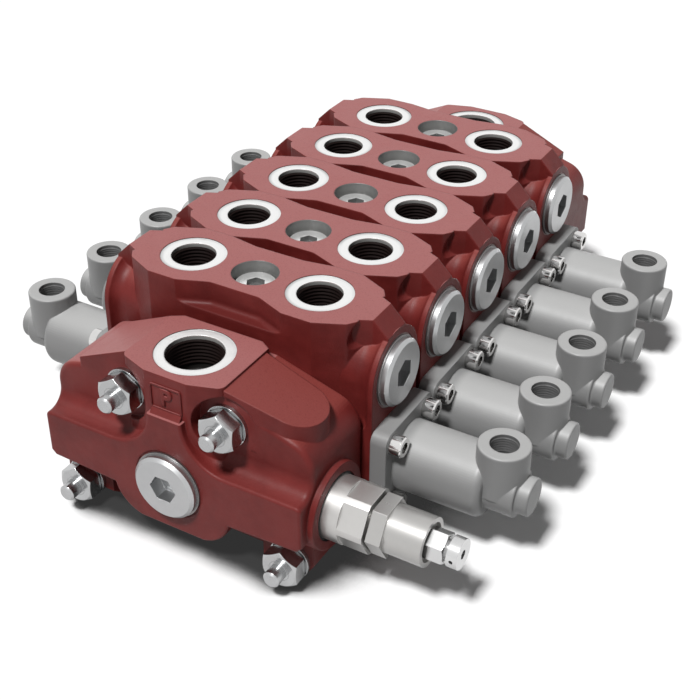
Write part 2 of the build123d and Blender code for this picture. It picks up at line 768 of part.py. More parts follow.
def end_casting(has_relief):
    """The inlet section, or without the relief valve's boss the base of the outlet section."""
    mating = -stack_half
    wall = -nut_seat
    port_y = mating - end_port_in
    foot_inner = end_half - foot_width
    hump_level = plate_top + hump_radius
    with BuildPart() as casting:
        with BuildSketch(Plane.XZ.offset(stack_half)) as body:
            with BuildLine():
                heel, rise = foot_corner
                Polyline(
                    (0, end_top),
                    (port_half, end_top),
                    (port_half, end_top - port_drop),
                    (end_half, shoulder_level),
                    (end_half, rise),
                    (end_half - heel, 0),
                    (foot_inner, 0),
                    (foot_inner, foot_clear),
                    (0, foot_clear),
                )
                mirror(about=Plane.YZ)
            make_face()
            fillet(body.vertices().filter_by(lambda v: v.Y == shoulder_level), shoulder_round)
        extrude(amount=end_depth)
        with BuildSketch(Plane.XZ.offset(nut_seat - plate_back)):
            with BuildLine():
                hump_side = Polyline((0, end_top), (hump_half, end_top), (hump_half, hump_level))
                hump_foot = (hump_half + hump_radius, plate_top)
                RadiusArc(hump_side @ 1, hump_foot, -hump_radius)
                Polyline(
                    hump_foot,
                    (end_half, plate_top),
                    (end_half, plate_heel + plate_corner),
                    (end_half - plate_corner, plate_heel),
                    plate_low,
                )
                ThreePointArc(plate_low, plate_belly, plate_base)
                Line(plate_base, (0, plate_base[1]))
                mirror(about=Plane.YZ)
            make_face()
        extrude(amount=plate_proud + plate_back)
        at_wall = casting.edges().filter_by_position(Axis.Y, wall - edge_play, wall + edge_play)
        hump_edges = at_wall.filter_by(lambda e: abs(e.center().X) < port_half - edge_play)
        plate_edges = hump_edges.filter_by(lambda e: plate_top < e.center().Z < end_top - edge_play)
        plate_edges += at_wall.filter_by(lambda e: abs(e.center().Z - plate_top) < edge_play)
        fillet(plate_edges, plate_blend)
        at_wall = casting.edges().filter_by_position(Axis.Y, wall - edge_play, wall + edge_play)
        shoulder_edges = at_wall.filter_by(lambda e: abs(e.center().X) > port_half + edge_play)
        fillet(shoulder_edges.filter_by(lambda e: e.center().Z > plate_top + plate_blend), wall_round)
        front_edges = casting.edges().group_by(Axis.Y)[0]
        fillet(front_edges.filter_by(lambda e: e.center().Z < hump_level), plate_edge)
        with Locations((0, wall, end_top)):
            Box(2 * port_half, plate_proud, end_top - hump_level,
                align=(Align.CENTER, Align.MAX, Align.MAX), mode=Mode.SUBTRACT)
        with BuildSketch(Plane.XZ.offset(stack_half)):
            Rectangle(2 * foot_inner, foot_clear, align=(Align.CENTER, Align.MIN))
        extrude(amount=foot_rail)
        with BuildSketch(Plane.YZ.offset(-end_half)):
            with BuildLine():
                cut_back, cut_up = foot_front
                Polyline((wall, 0), (wall + cut_back, 0), (wall, cut_up), close=True)
            make_face()
        extrude(amount=2 * end_half, mode=Mode.SUBTRACT)
        for sx in (-1,) if has_relief else (-1, 1):
            with BuildSketch(Plane.XZ.offset(stack_half + top_notch[2])):
                with BuildLine():
                    slab_half = sx * (end_half - slab_in)
                    Polyline(
                        (0, end_top),
                        (sx * port_half, end_top),
                        (slab_half, slab_level),
                        (slab_half, hump_level),
                        (0, hump_level),
                        close=True,
                    )
                make_face()
            extrude(amount=end_depth - top_notch[2])
        with BuildSketch(Plane.XY.offset(column_floor)) as column:
            with BuildLine():
                Polyline(
                    (0, wall + plate_back),
                    (port_half, wall + plate_back),
                    (port_half, wall - column_step),
                    (column_half, wall - column_proud),
                    (0, wall - column_proud),
                )
                mirror(about=Plane.YZ)
            make_face()
            fillet(column.vertices().filter_by(lambda v: v.Y < wall), column_round)
        extrude(amount=end_top - column_floor)
        ramp_half = hump_half - plate_edge
        with BuildSketch(Plane.YZ.offset(-ramp_half)):
            with BuildLine():
                face_y = wall - column_proud
                Polyline((face_y, hump_level), (face_y, hump_level + column_ramp),
                         (wall - plate_proud + plate_edge, hump_level), close=True)
            make_face()
        extrude(amount=2 * ramp_half)
        with BuildSketch(Plane.XY.offset(end_top - port_drop)):
            with BuildLine():
                middle_half, middle_cut, side_cut = top_notch
                Polyline(
                    (0, mating),
                    (port_half, mating),
                    (port_half, mating - side_cut),
                    (middle_half, mating - middle_cut),
                    (0, mating - middle_cut),
                )
                mirror(about=Plane.YZ)
            make_face()
        extrude(amount=port_drop, mode=Mode.SUBTRACT)
        if has_relief:
            lobe_plane = Plane(origin=(port_half, port_y, end_top - lobe_drop), x_dir=x_way, z_dir=z_way)
            lobe_plane = lobe_plane.rotated((0, lobe_slope, 0))
            reach = (end_half - lobe_in - port_half) / cos(radians(lobe_slope))
            with BuildSketch(lobe_plane) as lobe:
                with BuildLine():
                    Polyline((0, lobe_root_half), (reach, lobe_radius))
                    RadiusArc((reach, lobe_radius), (reach, -lobe_radius), lobe_radius)
                    Polyline((reach, -lobe_radius), (0, -lobe_root_half), (0, lobe_root_half))
                make_face()
            extrude(lobe.sketch, amount=lobe_height, dir=down)
            bar((foot_inner, relief_y, spool_level), x_way, relief_boss_radius, relief_face - foot_inner)
        for (x, z), pocket in ((upper_rod, nut_pocket_radius), (lower_rod, washer_radius + washer_play)):
            for sx in (-1, 1):
                drill((sx * x, wall, z), against(y_way), pocket, plate_proud)
        drill((0, port_y, end_top), down, end_port_spot, spot_depth)
        drill((0, port_y, end_top), down, end_port_radius, end_port_depth)
        drill((0, port_y, end_top), down, end_passage_radius, end_top - spool_level + end_passage_radius)
        drill((0, -plate_y, end_plug_level), y_way, plug_spot_radius, spot_depth)
        drill((0, -plate_y, end_plug_level), y_way, plug_thread_radius, plug_hole_depth)
        drill((0, -plate_y, end_plug_level), y_way, plug_cavity_radius, port_y + plate_y)
        for x, z in rod_places:
            drill((x, mating, z), against(y_way), rod_hole_radius, end_depth)
        for sx in (-1, 1):
            drill((sx * mount_x, mating - mount_in, 0), z_way, mount_radius, mount_depth)
            tank_mouth = (sx * tank_x, mating, tank_level)
            drill(tank_mouth, against(y_way), gallery_radius, end_port_in + gallery_beyond)
        if has_relief:
            drill((0, mating, pressure_level), against(y_way), gallery_radius, end_port_in)
            gallery_grooves(mating)
            relief_mouth = (relief_face, relief_y, spool_level)
            drill(relief_mouth, against(x_way), relief_recess_radius, relief_recess)
            drill(relief_mouth, against(x_way), relief_thread_radius + relief_play, relief_thread_length)
            drill(relief_mouth, against(x_way), relief_nose_radius + relief_play, relief_nose_length)
            drill((relief_nose_x, relief_y, spool_level), against(x_way), relief_seat_hole, relief_nose_x)
        else:
            drill((-tank_x, port_y, tank_level), x_way, cross_radius, 2 * tank_x)
    return casting.part


inlet_section = end_casting(True)
outlet_section = end_casting(False).mirror(Plane.XZ)

# Relief valve
relief_axis = (0, relief_y, spool_level)

with BuildPart() as relief_body:
    seat_x = relief_face - relief_recess + ring_thickness
    turned(
        [
            (relief_nose_x, relief_seat_hole),
            (relief_nose_x, relief_nose_radius),
            (relief_step_x, relief_nose_radius),
            (relief_step_x, relief_thread_radius),
            (seat_x, relief_thread_radius),
            (seat_x, relief_bar_radius),
            (relief_collar_end, relief_bar_radius),
            (relief_collar_end, relief_chamber_radius),
            (relief_chamber_start, relief_chamber_radius),
            (relief_chamber_start, relief_seat_hole),
        ],
        relief_axis,
        x_way,
    )
    with BuildSketch(Plane.YZ.offset(relief_collar_end)):
        with Locations((relief_y, spool_level)):
            RegularPolygon(relief_body_flats / 2, 6, major_radius=False)
            Circle(relief_bar_radius, mode=Mode.INTERSECT)
            Circle(relief_chamber_radius, mode=Mode.SUBTRACT)
    extrude(amount=relief_body_end - relief_collar_end)
    for i in range(relief_ports):
        turn = i * 2 * pi / relief_ports
        drill(
            (relief_port_x, relief_y, spool_level),
            (0, cos(turn), sin(turn)),
            relief_port_radius,
            relief_nose_radius + relief_play,
        )

with BuildPart() as relief_ring:
    outline = [
        (0, relief_thread_radius + relief_play),
        (ring_thickness, relief_thread_radius + relief_play),
        (ring_thickness, relief_recess_radius - relief_play),
        (0, relief_recess_radius - relief_play),
    ]
    turned(outline, (relief_face - relief_recess, relief_y, spool_level), x_way)

sleeve_bore = relief_spring_radius + relief_spring_wire + sleeve_play
lock_nut_start = relief_sleeve_end - sleeve_mouth

with BuildPart() as relief_sleeve:
    turned(
        [
            (relief_spigot_start, sleeve_bore),
            (relief_spigot_start, relief_chamber_radius - relief_play),
            (relief_body_end + relief_groove, relief_chamber_radius - relief_play),
            (relief_body_end + relief_groove, relief_groove_radius),
            (relief_hex_end, relief_groove_radius),
            (relief_hex_end, relief_sleeve_radius),
            (relief_sleeve_end, relief_sleeve_radius),
            (relief_sleeve_end, sleeve_mouth_radius),
            (lock_nut_start, sleeve_mouth_radius),
            (lock_nut_start, adjuster_radius + adjuster_play),
            (lock_nut_start - sleeve_end_wall, adjuster_radius + adjuster_play),
            (lock_nut_start - sleeve_end_wall, sleeve_bore),
        ],
        relief_axis,
        x_way,
    )
    with BuildSketch(Plane.YZ.offset(relief_body_end + relief_groove)):
        with Locations((relief_y, spool_level)):
            RegularPolygon(relief_hex_flats / 2, 6, major_radius=False)
            Circle(relief_sleeve_radius, mode=Mode.SUBTRACT)
    extrude(amount=relief_hex_end - relief_body_end - relief_groove)

with BuildPart() as relief_lock_nut:
    chamfered_hexagon((lock_nut_start, relief_y, spool_level), x_way, lock_nut_flats, lock_nut_height)
    drill((lock_nut_start, relief_y, spool_level), x_way, adjuster_radius + adjuster_play, lock_nut_height)

adjuster_head_start = lock_nut_start + lock_nut_height + adjuster_neck
adjuster_end = adjuster_head_start + adjuster_head_length

with BuildPart() as relief_adjuster:
    shank_length = adjuster_head_start - adjuster_inner
    bar((adjuster_inner, relief_y, spool_level), x_way, adjuster_radius, shank_length)
    bar((adjuster_head_start, relief_y, spool_level), x_way, adjuster_head_radius, adjuster_head_length)
    hexagon((adjuster_end, relief_y, spool_level), against(x_way), adjuster_socket, adjuster_socket_depth,
            Mode.SUBTRACT)
    seal_hole_x = adjuster_head_start + adjuster_head_length / 2
    drill((seal_hole_x, relief_y - adjuster_head_radius, spool_level), y_way, seal_hole_radius,
          2 * adjuster_head_radius)

with BuildPart() as relief_spring_seat:
    disc_start = adjuster_inner - relief_seat_disc
    bar((disc_start, relief_y, spool_level), x_way, sleeve_bore - spring_seat_play, relief_seat_disc)

cone_base = relief_chamber_start - (relief_seat_hole - relief_cone_gap)
cone_top = cone_base + relief_cone_length
guide_start = cone_top + relief_neck_length
guide_end = guide_start + relief_guide_length
relief_guide = relief_chamber_radius - guide_clearance

with BuildPart() as relief_poppet:
    turned(
        [
            (cone_base + relief_cone_blunt, 0),
            (cone_base + relief_cone_blunt, relief_cone_blunt),
            (cone_top, relief_cone_radius),
            (guide_start, relief_cone_radius),
            (guide_start, relief_guide),
            (guide_end, relief_guide),
            (guide_end, relief_stem_radius),
            (guide_end + relief_stem_length, relief_stem_radius),
            (guide_end + relief_stem_length, 0),
        ],
        relief_axis,
        x_way,
    )

with BuildPart() as relief_spring:
    spring(
        (guide_end, relief_y, spool_level),
        x_way,
        disc_start - guide_end,
        relief_spring_radius,
        relief_spring_wire,
        relief_spring_turns,
    )


# Every piece is labelled and written to a file of its own
left_cap = pilot_cap.part.mirror(Plane.YZ)
pieces = {
    "inlet_section": inlet_section,
    "outlet_section": outlet_section,
    "side_plugs": copies(screw_plug.part, side_plug_seats),
    "end_plugs": copies(screw_plug.part.rotate(Axis.Z, end_plug_turn), end_plug_seats),
    "plug_rings": copies(plug_ring.part, side_plug_seats + end_plug_seats),
    "cap_seals": copies(cap_seal.part, cap_seal_spots),
    "cap_screws": copies(cap_screw.part, cap_screw_spots),
    "tie_rods": copies(tie_rod.part, tie_rod_spots),
    "tie_rod_washers": copies(washer.part, washer_spots),
    "tie_rod_nuts": copies(nut.part, nut_spots),
    "section_seals": copies(gallery_seal.part, gallery_seal_spots),
    "relief_body": relief_body.part,
    "relief_ring": relief_ring.part,
    "relief_sleeve": relief_sleeve.part,
    "relief_lock_nut": relief_lock_nut.part,
    "relief_adjuster": relief_adjuster.part,
    "relief_spring_seat": relief_spring_seat.part,
    "relief_poppet": relief_poppet.part,
    "relief_spring": relief_spring.part,
    "check_plugs": Compound([placed(check_plug.part, y) for y in section_places]),
}
per_section = {
    "section": section.part,
    "pilot_cap_right": pilot_cap.part,
    "pilot_cap_left": left_cap,
    "spool": spool.part,
    "spring_seats": spring_seats.part,
    "centring_springs": centring_springs.part,
    "check_poppet": check_poppet.part,
    "check_spring": check_spring.part,
}
for number, y in enumerate(section_places, start=1):
    for name, part in per_section.items():
        pieces[f"{name}_{number}"] = placed(part, y)

os.makedirs("parts", exist_ok=True)
for name, part in pieces.items():
    part.label = name
    export_step(part, f"parts/{name}.step")
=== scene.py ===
import json
from math import cos, pi, radians, sin
from typing import NamedTuple

import bpy
from bpy.props import FloatProperty, FloatVectorProperty, IntProperty, PointerProperty
from bpy.types import Operator, Panel, PropertyGroup
from mathutils import Matrix, Vector


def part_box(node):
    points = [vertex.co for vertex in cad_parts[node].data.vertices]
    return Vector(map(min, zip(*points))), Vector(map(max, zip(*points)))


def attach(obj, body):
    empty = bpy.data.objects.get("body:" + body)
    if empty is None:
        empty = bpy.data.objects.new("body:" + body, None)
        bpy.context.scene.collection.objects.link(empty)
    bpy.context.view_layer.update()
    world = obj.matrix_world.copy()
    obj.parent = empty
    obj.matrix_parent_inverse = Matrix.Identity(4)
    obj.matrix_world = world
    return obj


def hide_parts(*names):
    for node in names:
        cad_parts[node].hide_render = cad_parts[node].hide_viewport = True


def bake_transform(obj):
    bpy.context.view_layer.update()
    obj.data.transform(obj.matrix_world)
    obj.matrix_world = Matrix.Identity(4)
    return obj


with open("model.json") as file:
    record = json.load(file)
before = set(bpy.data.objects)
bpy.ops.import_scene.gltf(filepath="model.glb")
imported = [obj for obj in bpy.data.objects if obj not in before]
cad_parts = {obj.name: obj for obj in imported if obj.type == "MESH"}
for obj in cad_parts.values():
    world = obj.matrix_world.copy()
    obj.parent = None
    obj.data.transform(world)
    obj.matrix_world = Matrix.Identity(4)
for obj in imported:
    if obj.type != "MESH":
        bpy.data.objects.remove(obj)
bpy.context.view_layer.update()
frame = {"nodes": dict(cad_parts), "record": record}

bl_info = {
    "name": "Sectional Control Valve",
    "version": (1, 0, 0),
    "blender": (4, 5, 0),
    "location": "3D View > Sidebar > Valve",
    "description": "Threads, port letters, finishes and studio for a sectional control valve",
    "category": "Object",
}

# Places on the castings, in metres, read from the frame
sections = range(1, 6)
mounts = {mount["name"]: mount for mount in frame["record"]["mounts"]}
service_x, _, service_top = mounts["service_port_right_1"]["pos_m"]
pilot_x, _, pilot_top = mounts["pilot_port_right_1"]["pos_m"]
main_y, main_top = mounts["tank_port"]["pos_m"][1:]
section_y = [mounts[f"service_port_right_{i}"]["pos_m"][1] for i in sections]
pitch = section_y[1] - section_y[0]


def middle(node):
    """The middle of a node's box."""
    low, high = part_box(node)
    return (low + high) / 2


spool_level = middle("spool_3").z
plug_level = middle("side_plugs").z
side_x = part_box("section_3")[1].x
casting_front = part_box("inlet_section")[0].y
relief_y = middle("relief_sleeve").y


class Port(NamedTuple):
    """A threaded port of the castings, in metres."""

    face: float  # level of the casting's top
    foot: float  # lowest level that the bore's finish reaches
    spot: float  # radius of the spotface
    rim_shade_from: float  # radius from which painted shade greys the spotface
    bore: float  # radius of the bore, and a hair
    dark: float  # depth from which painted shade darkens the bore
    shade: tuple  # colour of the painted shade down the bore


service_port = Port(
    face=service_top, foot=0.085, spot=0.0155, rim_shade_from=0.0132, bore=0.01056, dark=0.0020,
    shade=(0.006, 0.003, 0.0025),
)
main_port = Port(
    face=main_top, foot=0.060, spot=0.0180, rim_shade_from=0.0158, bore=0.0133, dark=0.0022,
    shade=(0.020, 0.018, 0.017),
)
spot_depth = 0.0005  # depth of the spotfaces
hair, speck = 0.00005, 0.00002  # margins of a finish at an edge

# Places whose finish differs, in metres
waist_shade_sides = (0.029, 0.023)  # how far from the middle the painted shade on a section's waist begins, and is full
waist_shade_levels = (0.094, 0.101)  # foot and top of the waist's painted shade
recess_radius, recess_foot = 0.01105, 0.080  # counterbore over a check plug
seat_radius, seat_depth = 0.01745, 0.0008  # machined seat round a side plug
shade_levels = (0.058, 0.068)  # below these the end castings are shaded, and get no painted highlight
hollow_radius, hollow_reach = 0.01605, (0.045, 0.0708)  # bore round the relief valve, which is painted black as shade
pilot_radius = 0.0067  # bore of a pilot port
barrel_start = (side_x + 0.010, side_x + 0.015)  # from a cap's flange to its barrel
socket_radius, socket_depths = (0.0049, 0.0047), (0.0002, 0.0005)  # socket of a check plug, where painted shade goes

# How deep the finishes are, and how far they round the edges, in metres
casting_skin, casting_edge = 0.00024, 0.0011
cap_skin, cap_edge = 0.00016, 0.0009
plug_ring_depth, plug_edge = 0.00003, 0.0005
ring_depth = 0.00003

# Shades of the finishes, beside the colours that the panel's groups hold
# The second of these is painted shade, greying a spotface towards its rim
ringed_iron, rim_shade_iron = (0.60, 0.60, 0.60), (0.38, 0.38, 0.38)
bore_iron, recess_iron = (0.30, 0.295, 0.285), (0.20, 0.20, 0.195)
# The first of these is painted shade on the walls round the spotfaces; the second is the pale red of the
# seats round the side plugs
wall_shade_red, seat_red = (0.030, 0.010, 0.010), (0.34, 0.24, 0.235)
# Painted shade: black in the bore round the relief valve
hollow_shade_black = (0.012, 0.010, 0.010)
# The second of these is a painted highlight on the caps, the third painted shade in the pilot bores
grey_mottle, grey_lit, grey_bore_shade = (0.20, 0.20, 0.20), (0.45, 0.45, 0.445), (0.11, 0.11, 0.11)
bright_zinc, adjuster_zinc = (0.90, 0.90, 0.89), (0.7, 0.7, 0.7)
screw_chrome, ring_metal = (0.78, 0.77, 0.76), (0.30, 0.29, 0.29)
ground_steel, wire_steel = (0.60, 0.60, 0.61), (0.22, 0.22, 0.23)
oiled_iron, oiled_dark = (0.010, 0.005, 0.0045), (0.005, 0.0025, 0.002)
rubber_black, rubber_dust = (0.012, 0.012, 0.012), (0.04, 0.04, 0.038)
# The second of these is the painted contact shadow on the floor
floor_pale, floor_shadow_dark = (0.95, 0.95, 0.95), (0.02, 0.02, 0.02)


class Finish:
    """A procedural material, built node by node, that reads Object coordinates."""

    def __init__(self, name):
        self.material = bpy.data.materials.new(name)
        self.material.use_nodes = True
        self.tree = self.material.node_tree
        self.tree.nodes.clear()
        self.shader = self.node("ShaderNodeBsdfPrincipled")
        output = self.node("ShaderNodeOutputMaterial")
        self.tree.links.new(self.shader.outputs["BSDF"], output.inputs["Surface"])
        self.place = self.node("ShaderNodeTexCoord").outputs["Object"]
        self.x, self.y, self.z = self.split(self.place)
        facing = self.node("ShaderNodeNewGeometry").outputs["True Normal"]
        self.rightward, _, self.upward = self.split(facing)

    def node(self, kind, **settings):
        made = self.tree.nodes.new(kind)
        for name, value in settings.items():
            setattr(made, name, value)
        return made

    def feed(self, socket, value):
        """Links an output to the socket, or sets a constant on it."""
        if isinstance(value, bpy.types.NodeSocket):
            self.tree.links.new(value, socket)
        elif isinstance(value, (float, int)):
            socket.default_value = value
        else:
            value = tuple(value)
            socket.default_value = value if len(value) == len(socket.default_value) else (*value, 1.0)

    def split(self, vector):
        parts = self.node("ShaderNodeSeparateXYZ")
        self.feed(parts.inputs[0], vector)
        return tuple(parts.outputs)

    def join(self, x, y, z):
        whole = self.node("ShaderNodeCombineXYZ")
        for socket, value in zip(whole.inputs, (x, y, z)):
            self.feed(socket, value)
        return whole.outputs[0]

    def math(self, operation, *values):
        made = self.node("ShaderNodeMath", operation=operation)
        for socket, value in zip(made.inputs, values):
            self.feed(socket, value)
        return made.outputs[0]

    def rise(self, value, low, high):
        """0 below low, 1 above high and smooth between."""
        made = self.node("ShaderNodeMapRange", interpolation_type="SMOOTHSTEP")
        for socket, given in zip(made.inputs, (value, low, high, 0.0, 1.0)):
            self.feed(socket, given)
        return made.outputs[0]

    def scale(self, value, low, high):
        """A value from 0 to 1, spread from low to high."""
        made = self.node("ShaderNodeMapRange")
        for socket, given in zip(made.inputs, (value, 0.0, 1.0, low, high)):
            self.feed(socket, given)
        return made.outputs[0]

    def within(self, value, limit, edge=hair):
        """1 where the value is below the limit."""
        return self.rise(value, limit + edge, limit - edge)

    def between(self, value, low, high, edge=hair):
        """1 where the value lies from low to high."""
        return self.both(self.rise(value, low - edge, low + edge), self.within(value, high, edge))

    def both(self, *masks):
        """The masks multiplied; a number among them makes the result weaker."""
        result = masks[0]
        for mask in masks[1:]:
            result = self.math("MULTIPLY", result, mask)
        return result

    def either(self, *masks):
        """The strongest of the masks."""
        result = masks[0]
        for mask in masks[1:]:
            result = self.math("MAXIMUM", result, mask)
        return result

    def noise(self, scale, detail=2.0, roughness=0.5, place=None):
        """Cloudy values from 0 to 1, over the piece unless another place is given."""
        made = self.node("ShaderNodeTexNoise")
        self.feed(made.inputs["Vector"], place or self.place)
        self.feed(made.inputs["Scale"], scale)
        self.feed(made.inputs["Detail"], detail)
        self.feed(made.inputs["Roughness"], roughness)
        return made.outputs["Fac"]

    def mix(self, share, first, second):
        """Two colours mixed."""
        made = self.node("ShaderNodeMix", data_type="RGBA")
        for index, value in ((0, share), (6, first), (7, second)):
            self.feed(made.inputs[index], value)
        return made.outputs[2]

    def blend(self, share, first, second):
        """Two numbers mixed."""
        made = self.node("ShaderNodeMix", data_type="FLOAT")
        for index, value in ((0, share), (2, first), (3, second)):
            self.feed(made.inputs[index], value)
        return made.outputs[0]

    def radius(self, across, up):
        """Distance from an axis, from two distances across it."""
        squares = [self.math("POWER", part, 2.0) for part in (across, up)]
        return self.math("SQRT", self.math("ADD", *squares))

    def rings(self, radius):
        """Fine turned rings, from the distance to their axis."""
        return self.noise(2600.0, detail=1.0, roughness=0.4, place=self.join(radius, 0.0, 0.0))

    def soft_edges(self, size):
        """The normal with the edges rounded by size."""
        made = self.node("ShaderNodeBevel", samples=6)
        self.feed(made.inputs["Radius"], size)
        return made.outputs["Normal"]

    def bump(self, height, depth, normal=None, strength=1.0):
        """The normal raised by height, times depth in metres."""
        made = self.node("ShaderNodeBump")
        self.feed(made.inputs["Strength"], strength)
        self.feed(made.inputs["Distance"], depth)
        self.feed(made.inputs["Height"], height)
        if normal:
            self.feed(made.inputs["Normal"], normal)
        return made.outputs["Normal"]

    def set(self, **values):
        """Feeds the shader's sockets: base_color becomes Base Color."""
        for name, value in values.items():
            self.feed(self.shader.inputs[name.replace("_", " ").title().replace("Ior", "IOR")], value)
        return self.material

    def local_y(self):
        """Y measured from the middle of the nearest section."""
        return self.math("WRAP", self.y, pitch / 2, -pitch / 2)

    def past(self, value, start):
        """The value measured from start."""
        return self.math("SUBTRACT", value, start)


def dress(names, material):
    """Puts a material on every slot of these frame nodes."""
    for name in names:
        for slot in frame["nodes"][name].material_slots:
            slot.material = material


def nodes_like(*starts):
    """The frame's nodes whose names begin with one of these."""
    return [name for name in frame["nodes"] if name.startswith(starts)]


class ValvePaint(PropertyGroup):
    red: FloatVectorProperty(
        name="Casting red", description="Paint of the red castings", subtype="COLOR", size=3,
        default=(0.160, 0.020, 0.018), min=0, max=1,
    )
    # Painted highlight: a pale red on faces that point up, standing for the light that falls on them
    red_lit: FloatVectorProperty(
        name="Highlit red", description="Paint that faces up and has gone pale", subtype="COLOR", size=3,
        default=(0.360, 0.130, 0.126), min=0, max=1,
    )
    # Painted half light: a lighter red on faces that slope up, standing for the light that they catch
    red_half_lit: FloatVectorProperty(
        name="Sloped red", description="Paint where it faces half up", subtype="COLOR", size=3,
        default=(0.215, 0.042, 0.036), min=0, max=1,
    )
    # A darker red for the random mottle and the pores, used also as the painted shade in the sections'
    # waists
    red_dark_and_shade: FloatVectorProperty(
        name="Deep red", description="Paint in the hollows of the castings", subtype="COLOR", size=3,
        default=(0.100, 0.010, 0.009), min=0, max=1,
    )
    grey: FloatVectorProperty(
        name="Cap grey", description="Paint of the pilot caps", subtype="COLOR", size=3,
        default=(0.235, 0.235, 0.234), min=0, max=1,
    )
    zinc: FloatVectorProperty(
        name="Zinc", description="Plating of plugs, nuts and screws", subtype="COLOR", size=3,
        default=(0.500, 0.505, 0.510), min=0, max=1,
    )
    nickel: FloatVectorProperty(
        name="Nickel", description="Plating of the relief valve", subtype="COLOR", size=3,
        default=(0.600, 0.590, 0.575), min=0, max=1,
    )
    iron: FloatVectorProperty(
        name="Bare iron", description="Machined faces of the castings", subtype="COLOR", size=3,
        default=(0.920, 0.920, 0.910), min=0, max=1,
    )


class ValveThreads(PropertyGroup):
    service_pitch: FloatProperty(
        name="Service thread pitch", description="Pitch of the G 1/2 thread", subtype="DISTANCE",
        default=0.001814, min=0.0005,
    )
    pilot_pitch: FloatProperty(
        name="Pilot thread pitch", description="Pitch of the G 1/4 thread", subtype="DISTANCE",
        default=0.001337, min=0.0005,
    )
    steps: IntProperty(
        name="Steps", description="Sides of each turned thread", default=48, min=12, max=128
    )
    play: FloatProperty(
        name="Wall play", description="Gap between a thread sleeve and its bore", subtype="DISTANCE",
        default=0.00003, min=0.0,
    )
    height: FloatProperty(
        name="Ridge height", description="Height of the ridges, as a share of the pitch", default=0.35,
        min=0.05, max=0.7,
    )
    pilot_height: FloatProperty(
        name="Pilot ridge height", description="The same in the pilot ports", default=0.12, min=0.05, max=0.7
    )
    pilot_lead: FloatProperty(
        name="Pilot lead", description="Depth at which the pilot ports' threads start", subtype="DISTANCE",
        default=0.0002, min=0.0,
    )


class ValveSprings(PropertyGroup):
    centring_wire: FloatProperty(
        name="Centring wire", description="Radius of a centring spring's wire", subtype="DISTANCE",
        default=0.0011, min=0.0001,
    )
    centring_turns: IntProperty(
        name="Centring turns", description="Turns of a centring spring", default=6, min=1
    )
    check_wire: FloatProperty(
        name="Check wire", description="Radius of a check spring's wire", subtype="DISTANCE",
        default=0.0006, min=0.0001,
    )
    check_turns: IntProperty(name="Check turns", description="Turns of a check spring", default=5, min=1)
    relief_wire: FloatProperty(
        name="Relief wire", description="Radius of the relief spring's wire", subtype="DISTANCE",
        default=0.0009, min=0.0001,
    )
    relief_turns: IntProperty(
        name="Relief turns", description="Turns of the relief spring", default=10, min=1
    )
    seat_gap: FloatProperty(
        name="Seat gap", description="Gap between a spring's end and its seat", subtype="DISTANCE",
        default=0.0001, min=0,
    )


class ValveLetters(PropertyGroup):
    size: FloatProperty(
        name="Letter size", description="Height of the letter's line", subtype="DISTANCE",
        default=0.0115, min=0.001,
    )
    level: FloatProperty(
        name="Level", description="Height of the letter's middle above the floor", subtype="DISTANCE",
        default=0.0815,
    )
    raised: FloatProperty(
        name="Raised", description="Thickness of the frame, and half that of the letter", subtype="DISTANCE",
        default=0.0004, min=0.0001,
    )
    swell: FloatProperty(
        name="Swell", description="How much bolder the letter is than its font", subtype="DISTANCE",
        default=0.0004, min=0.0,
    )
    frame_width: FloatProperty(
        name="Frame width", description="Width of the frame", subtype="DISTANCE", default=0.0165, min=0.001
    )
    frame_height: FloatProperty(
        name="Frame height", description="Height of the frame", subtype="DISTANCE", default=0.0128, min=0.001
    )
    frame_corner: FloatProperty(
        name="Frame corner", description="Size of the frame's rounded corners", subtype="DISTANCE",
        default=0.0014, min=0.0001,
    )
    frame_bar: FloatProperty(
        name="Frame bar", description="Width of the frame's bars", subtype="DISTANCE",
        default=0.0009, min=0.0001,
    )
    pad_depth: FloatProperty(
        name="Pad depth", description="How far the column's face lies behind the casting's front",
        subtype="DISTANCE", default=0.0035, min=0.0,
    )
    stand_off: FloatProperty(
        name="Stand-off", description="Gap between the column's face and the back of the frame",
        subtype="DISTANCE", default=0.0001, min=0.0,
    )


class ValveStudio(PropertyGroup):
    azimuth: FloatProperty(
        name="Azimuth", description="Camera's turn about the valve", subtype="ANGLE",
        default=radians(29.438),
    )
    elevation: FloatProperty(
        name="Elevation", description="Camera's height above the horizon", subtype="ANGLE",
        default=radians(33.906),
    )
    roll: FloatProperty(
        name="Roll", description="Camera's turn about its own axis", subtype="ANGLE", default=radians(0.607)
    )
    eye: FloatVectorProperty(
        name="Eye", description="Camera's place", subtype="XYZ", unit="LENGTH", size=3,
        default=(0.2782, -0.4975, 0.3958),
    )
    lens: FloatProperty(name="Lens", description="Focal length in millimetres", default=64.78, min=10)
    floor_white: FloatProperty(
        name="Floor white", description="Light added to the floor where the camera and gloss see it",
        default=0.03, min=0, max=1,
    )
    floor_bounce: FloatProperty(
        name="Floor bounce", description="Grey of the floor in the light that it throws back", default=0.4,
        min=0, max=1,
    )
    # Reach of the painted contact shadow on the floor
    contact_reach: FloatProperty(
        name="Contact shadow", description="How far the dark round the valve's foot reaches",
        subtype="DISTANCE", default=0.035, min=0,
    )
    key_azimuth: FloatProperty(
        name="Key azimuth", description="Turn of the key light", subtype="ANGLE", default=radians(-5.0)
    )
    key_elevation: FloatProperty(
        name="Key elevation", description="Height of the key light", subtype="ANGLE", default=radians(61.0)
    )
    key_width: FloatProperty(
        name="Key width", description="Angle that the key light fills", subtype="ANGLE",
        default=radians(9.0),
    )
    key_strength: FloatProperty(
        name="Key strength", description="Strength of the key light", default=3.5, min=0
    )
    world_level: FloatProperty(
        name="Sky", description="Level of the surrounding light", default=0.10, min=0
    )


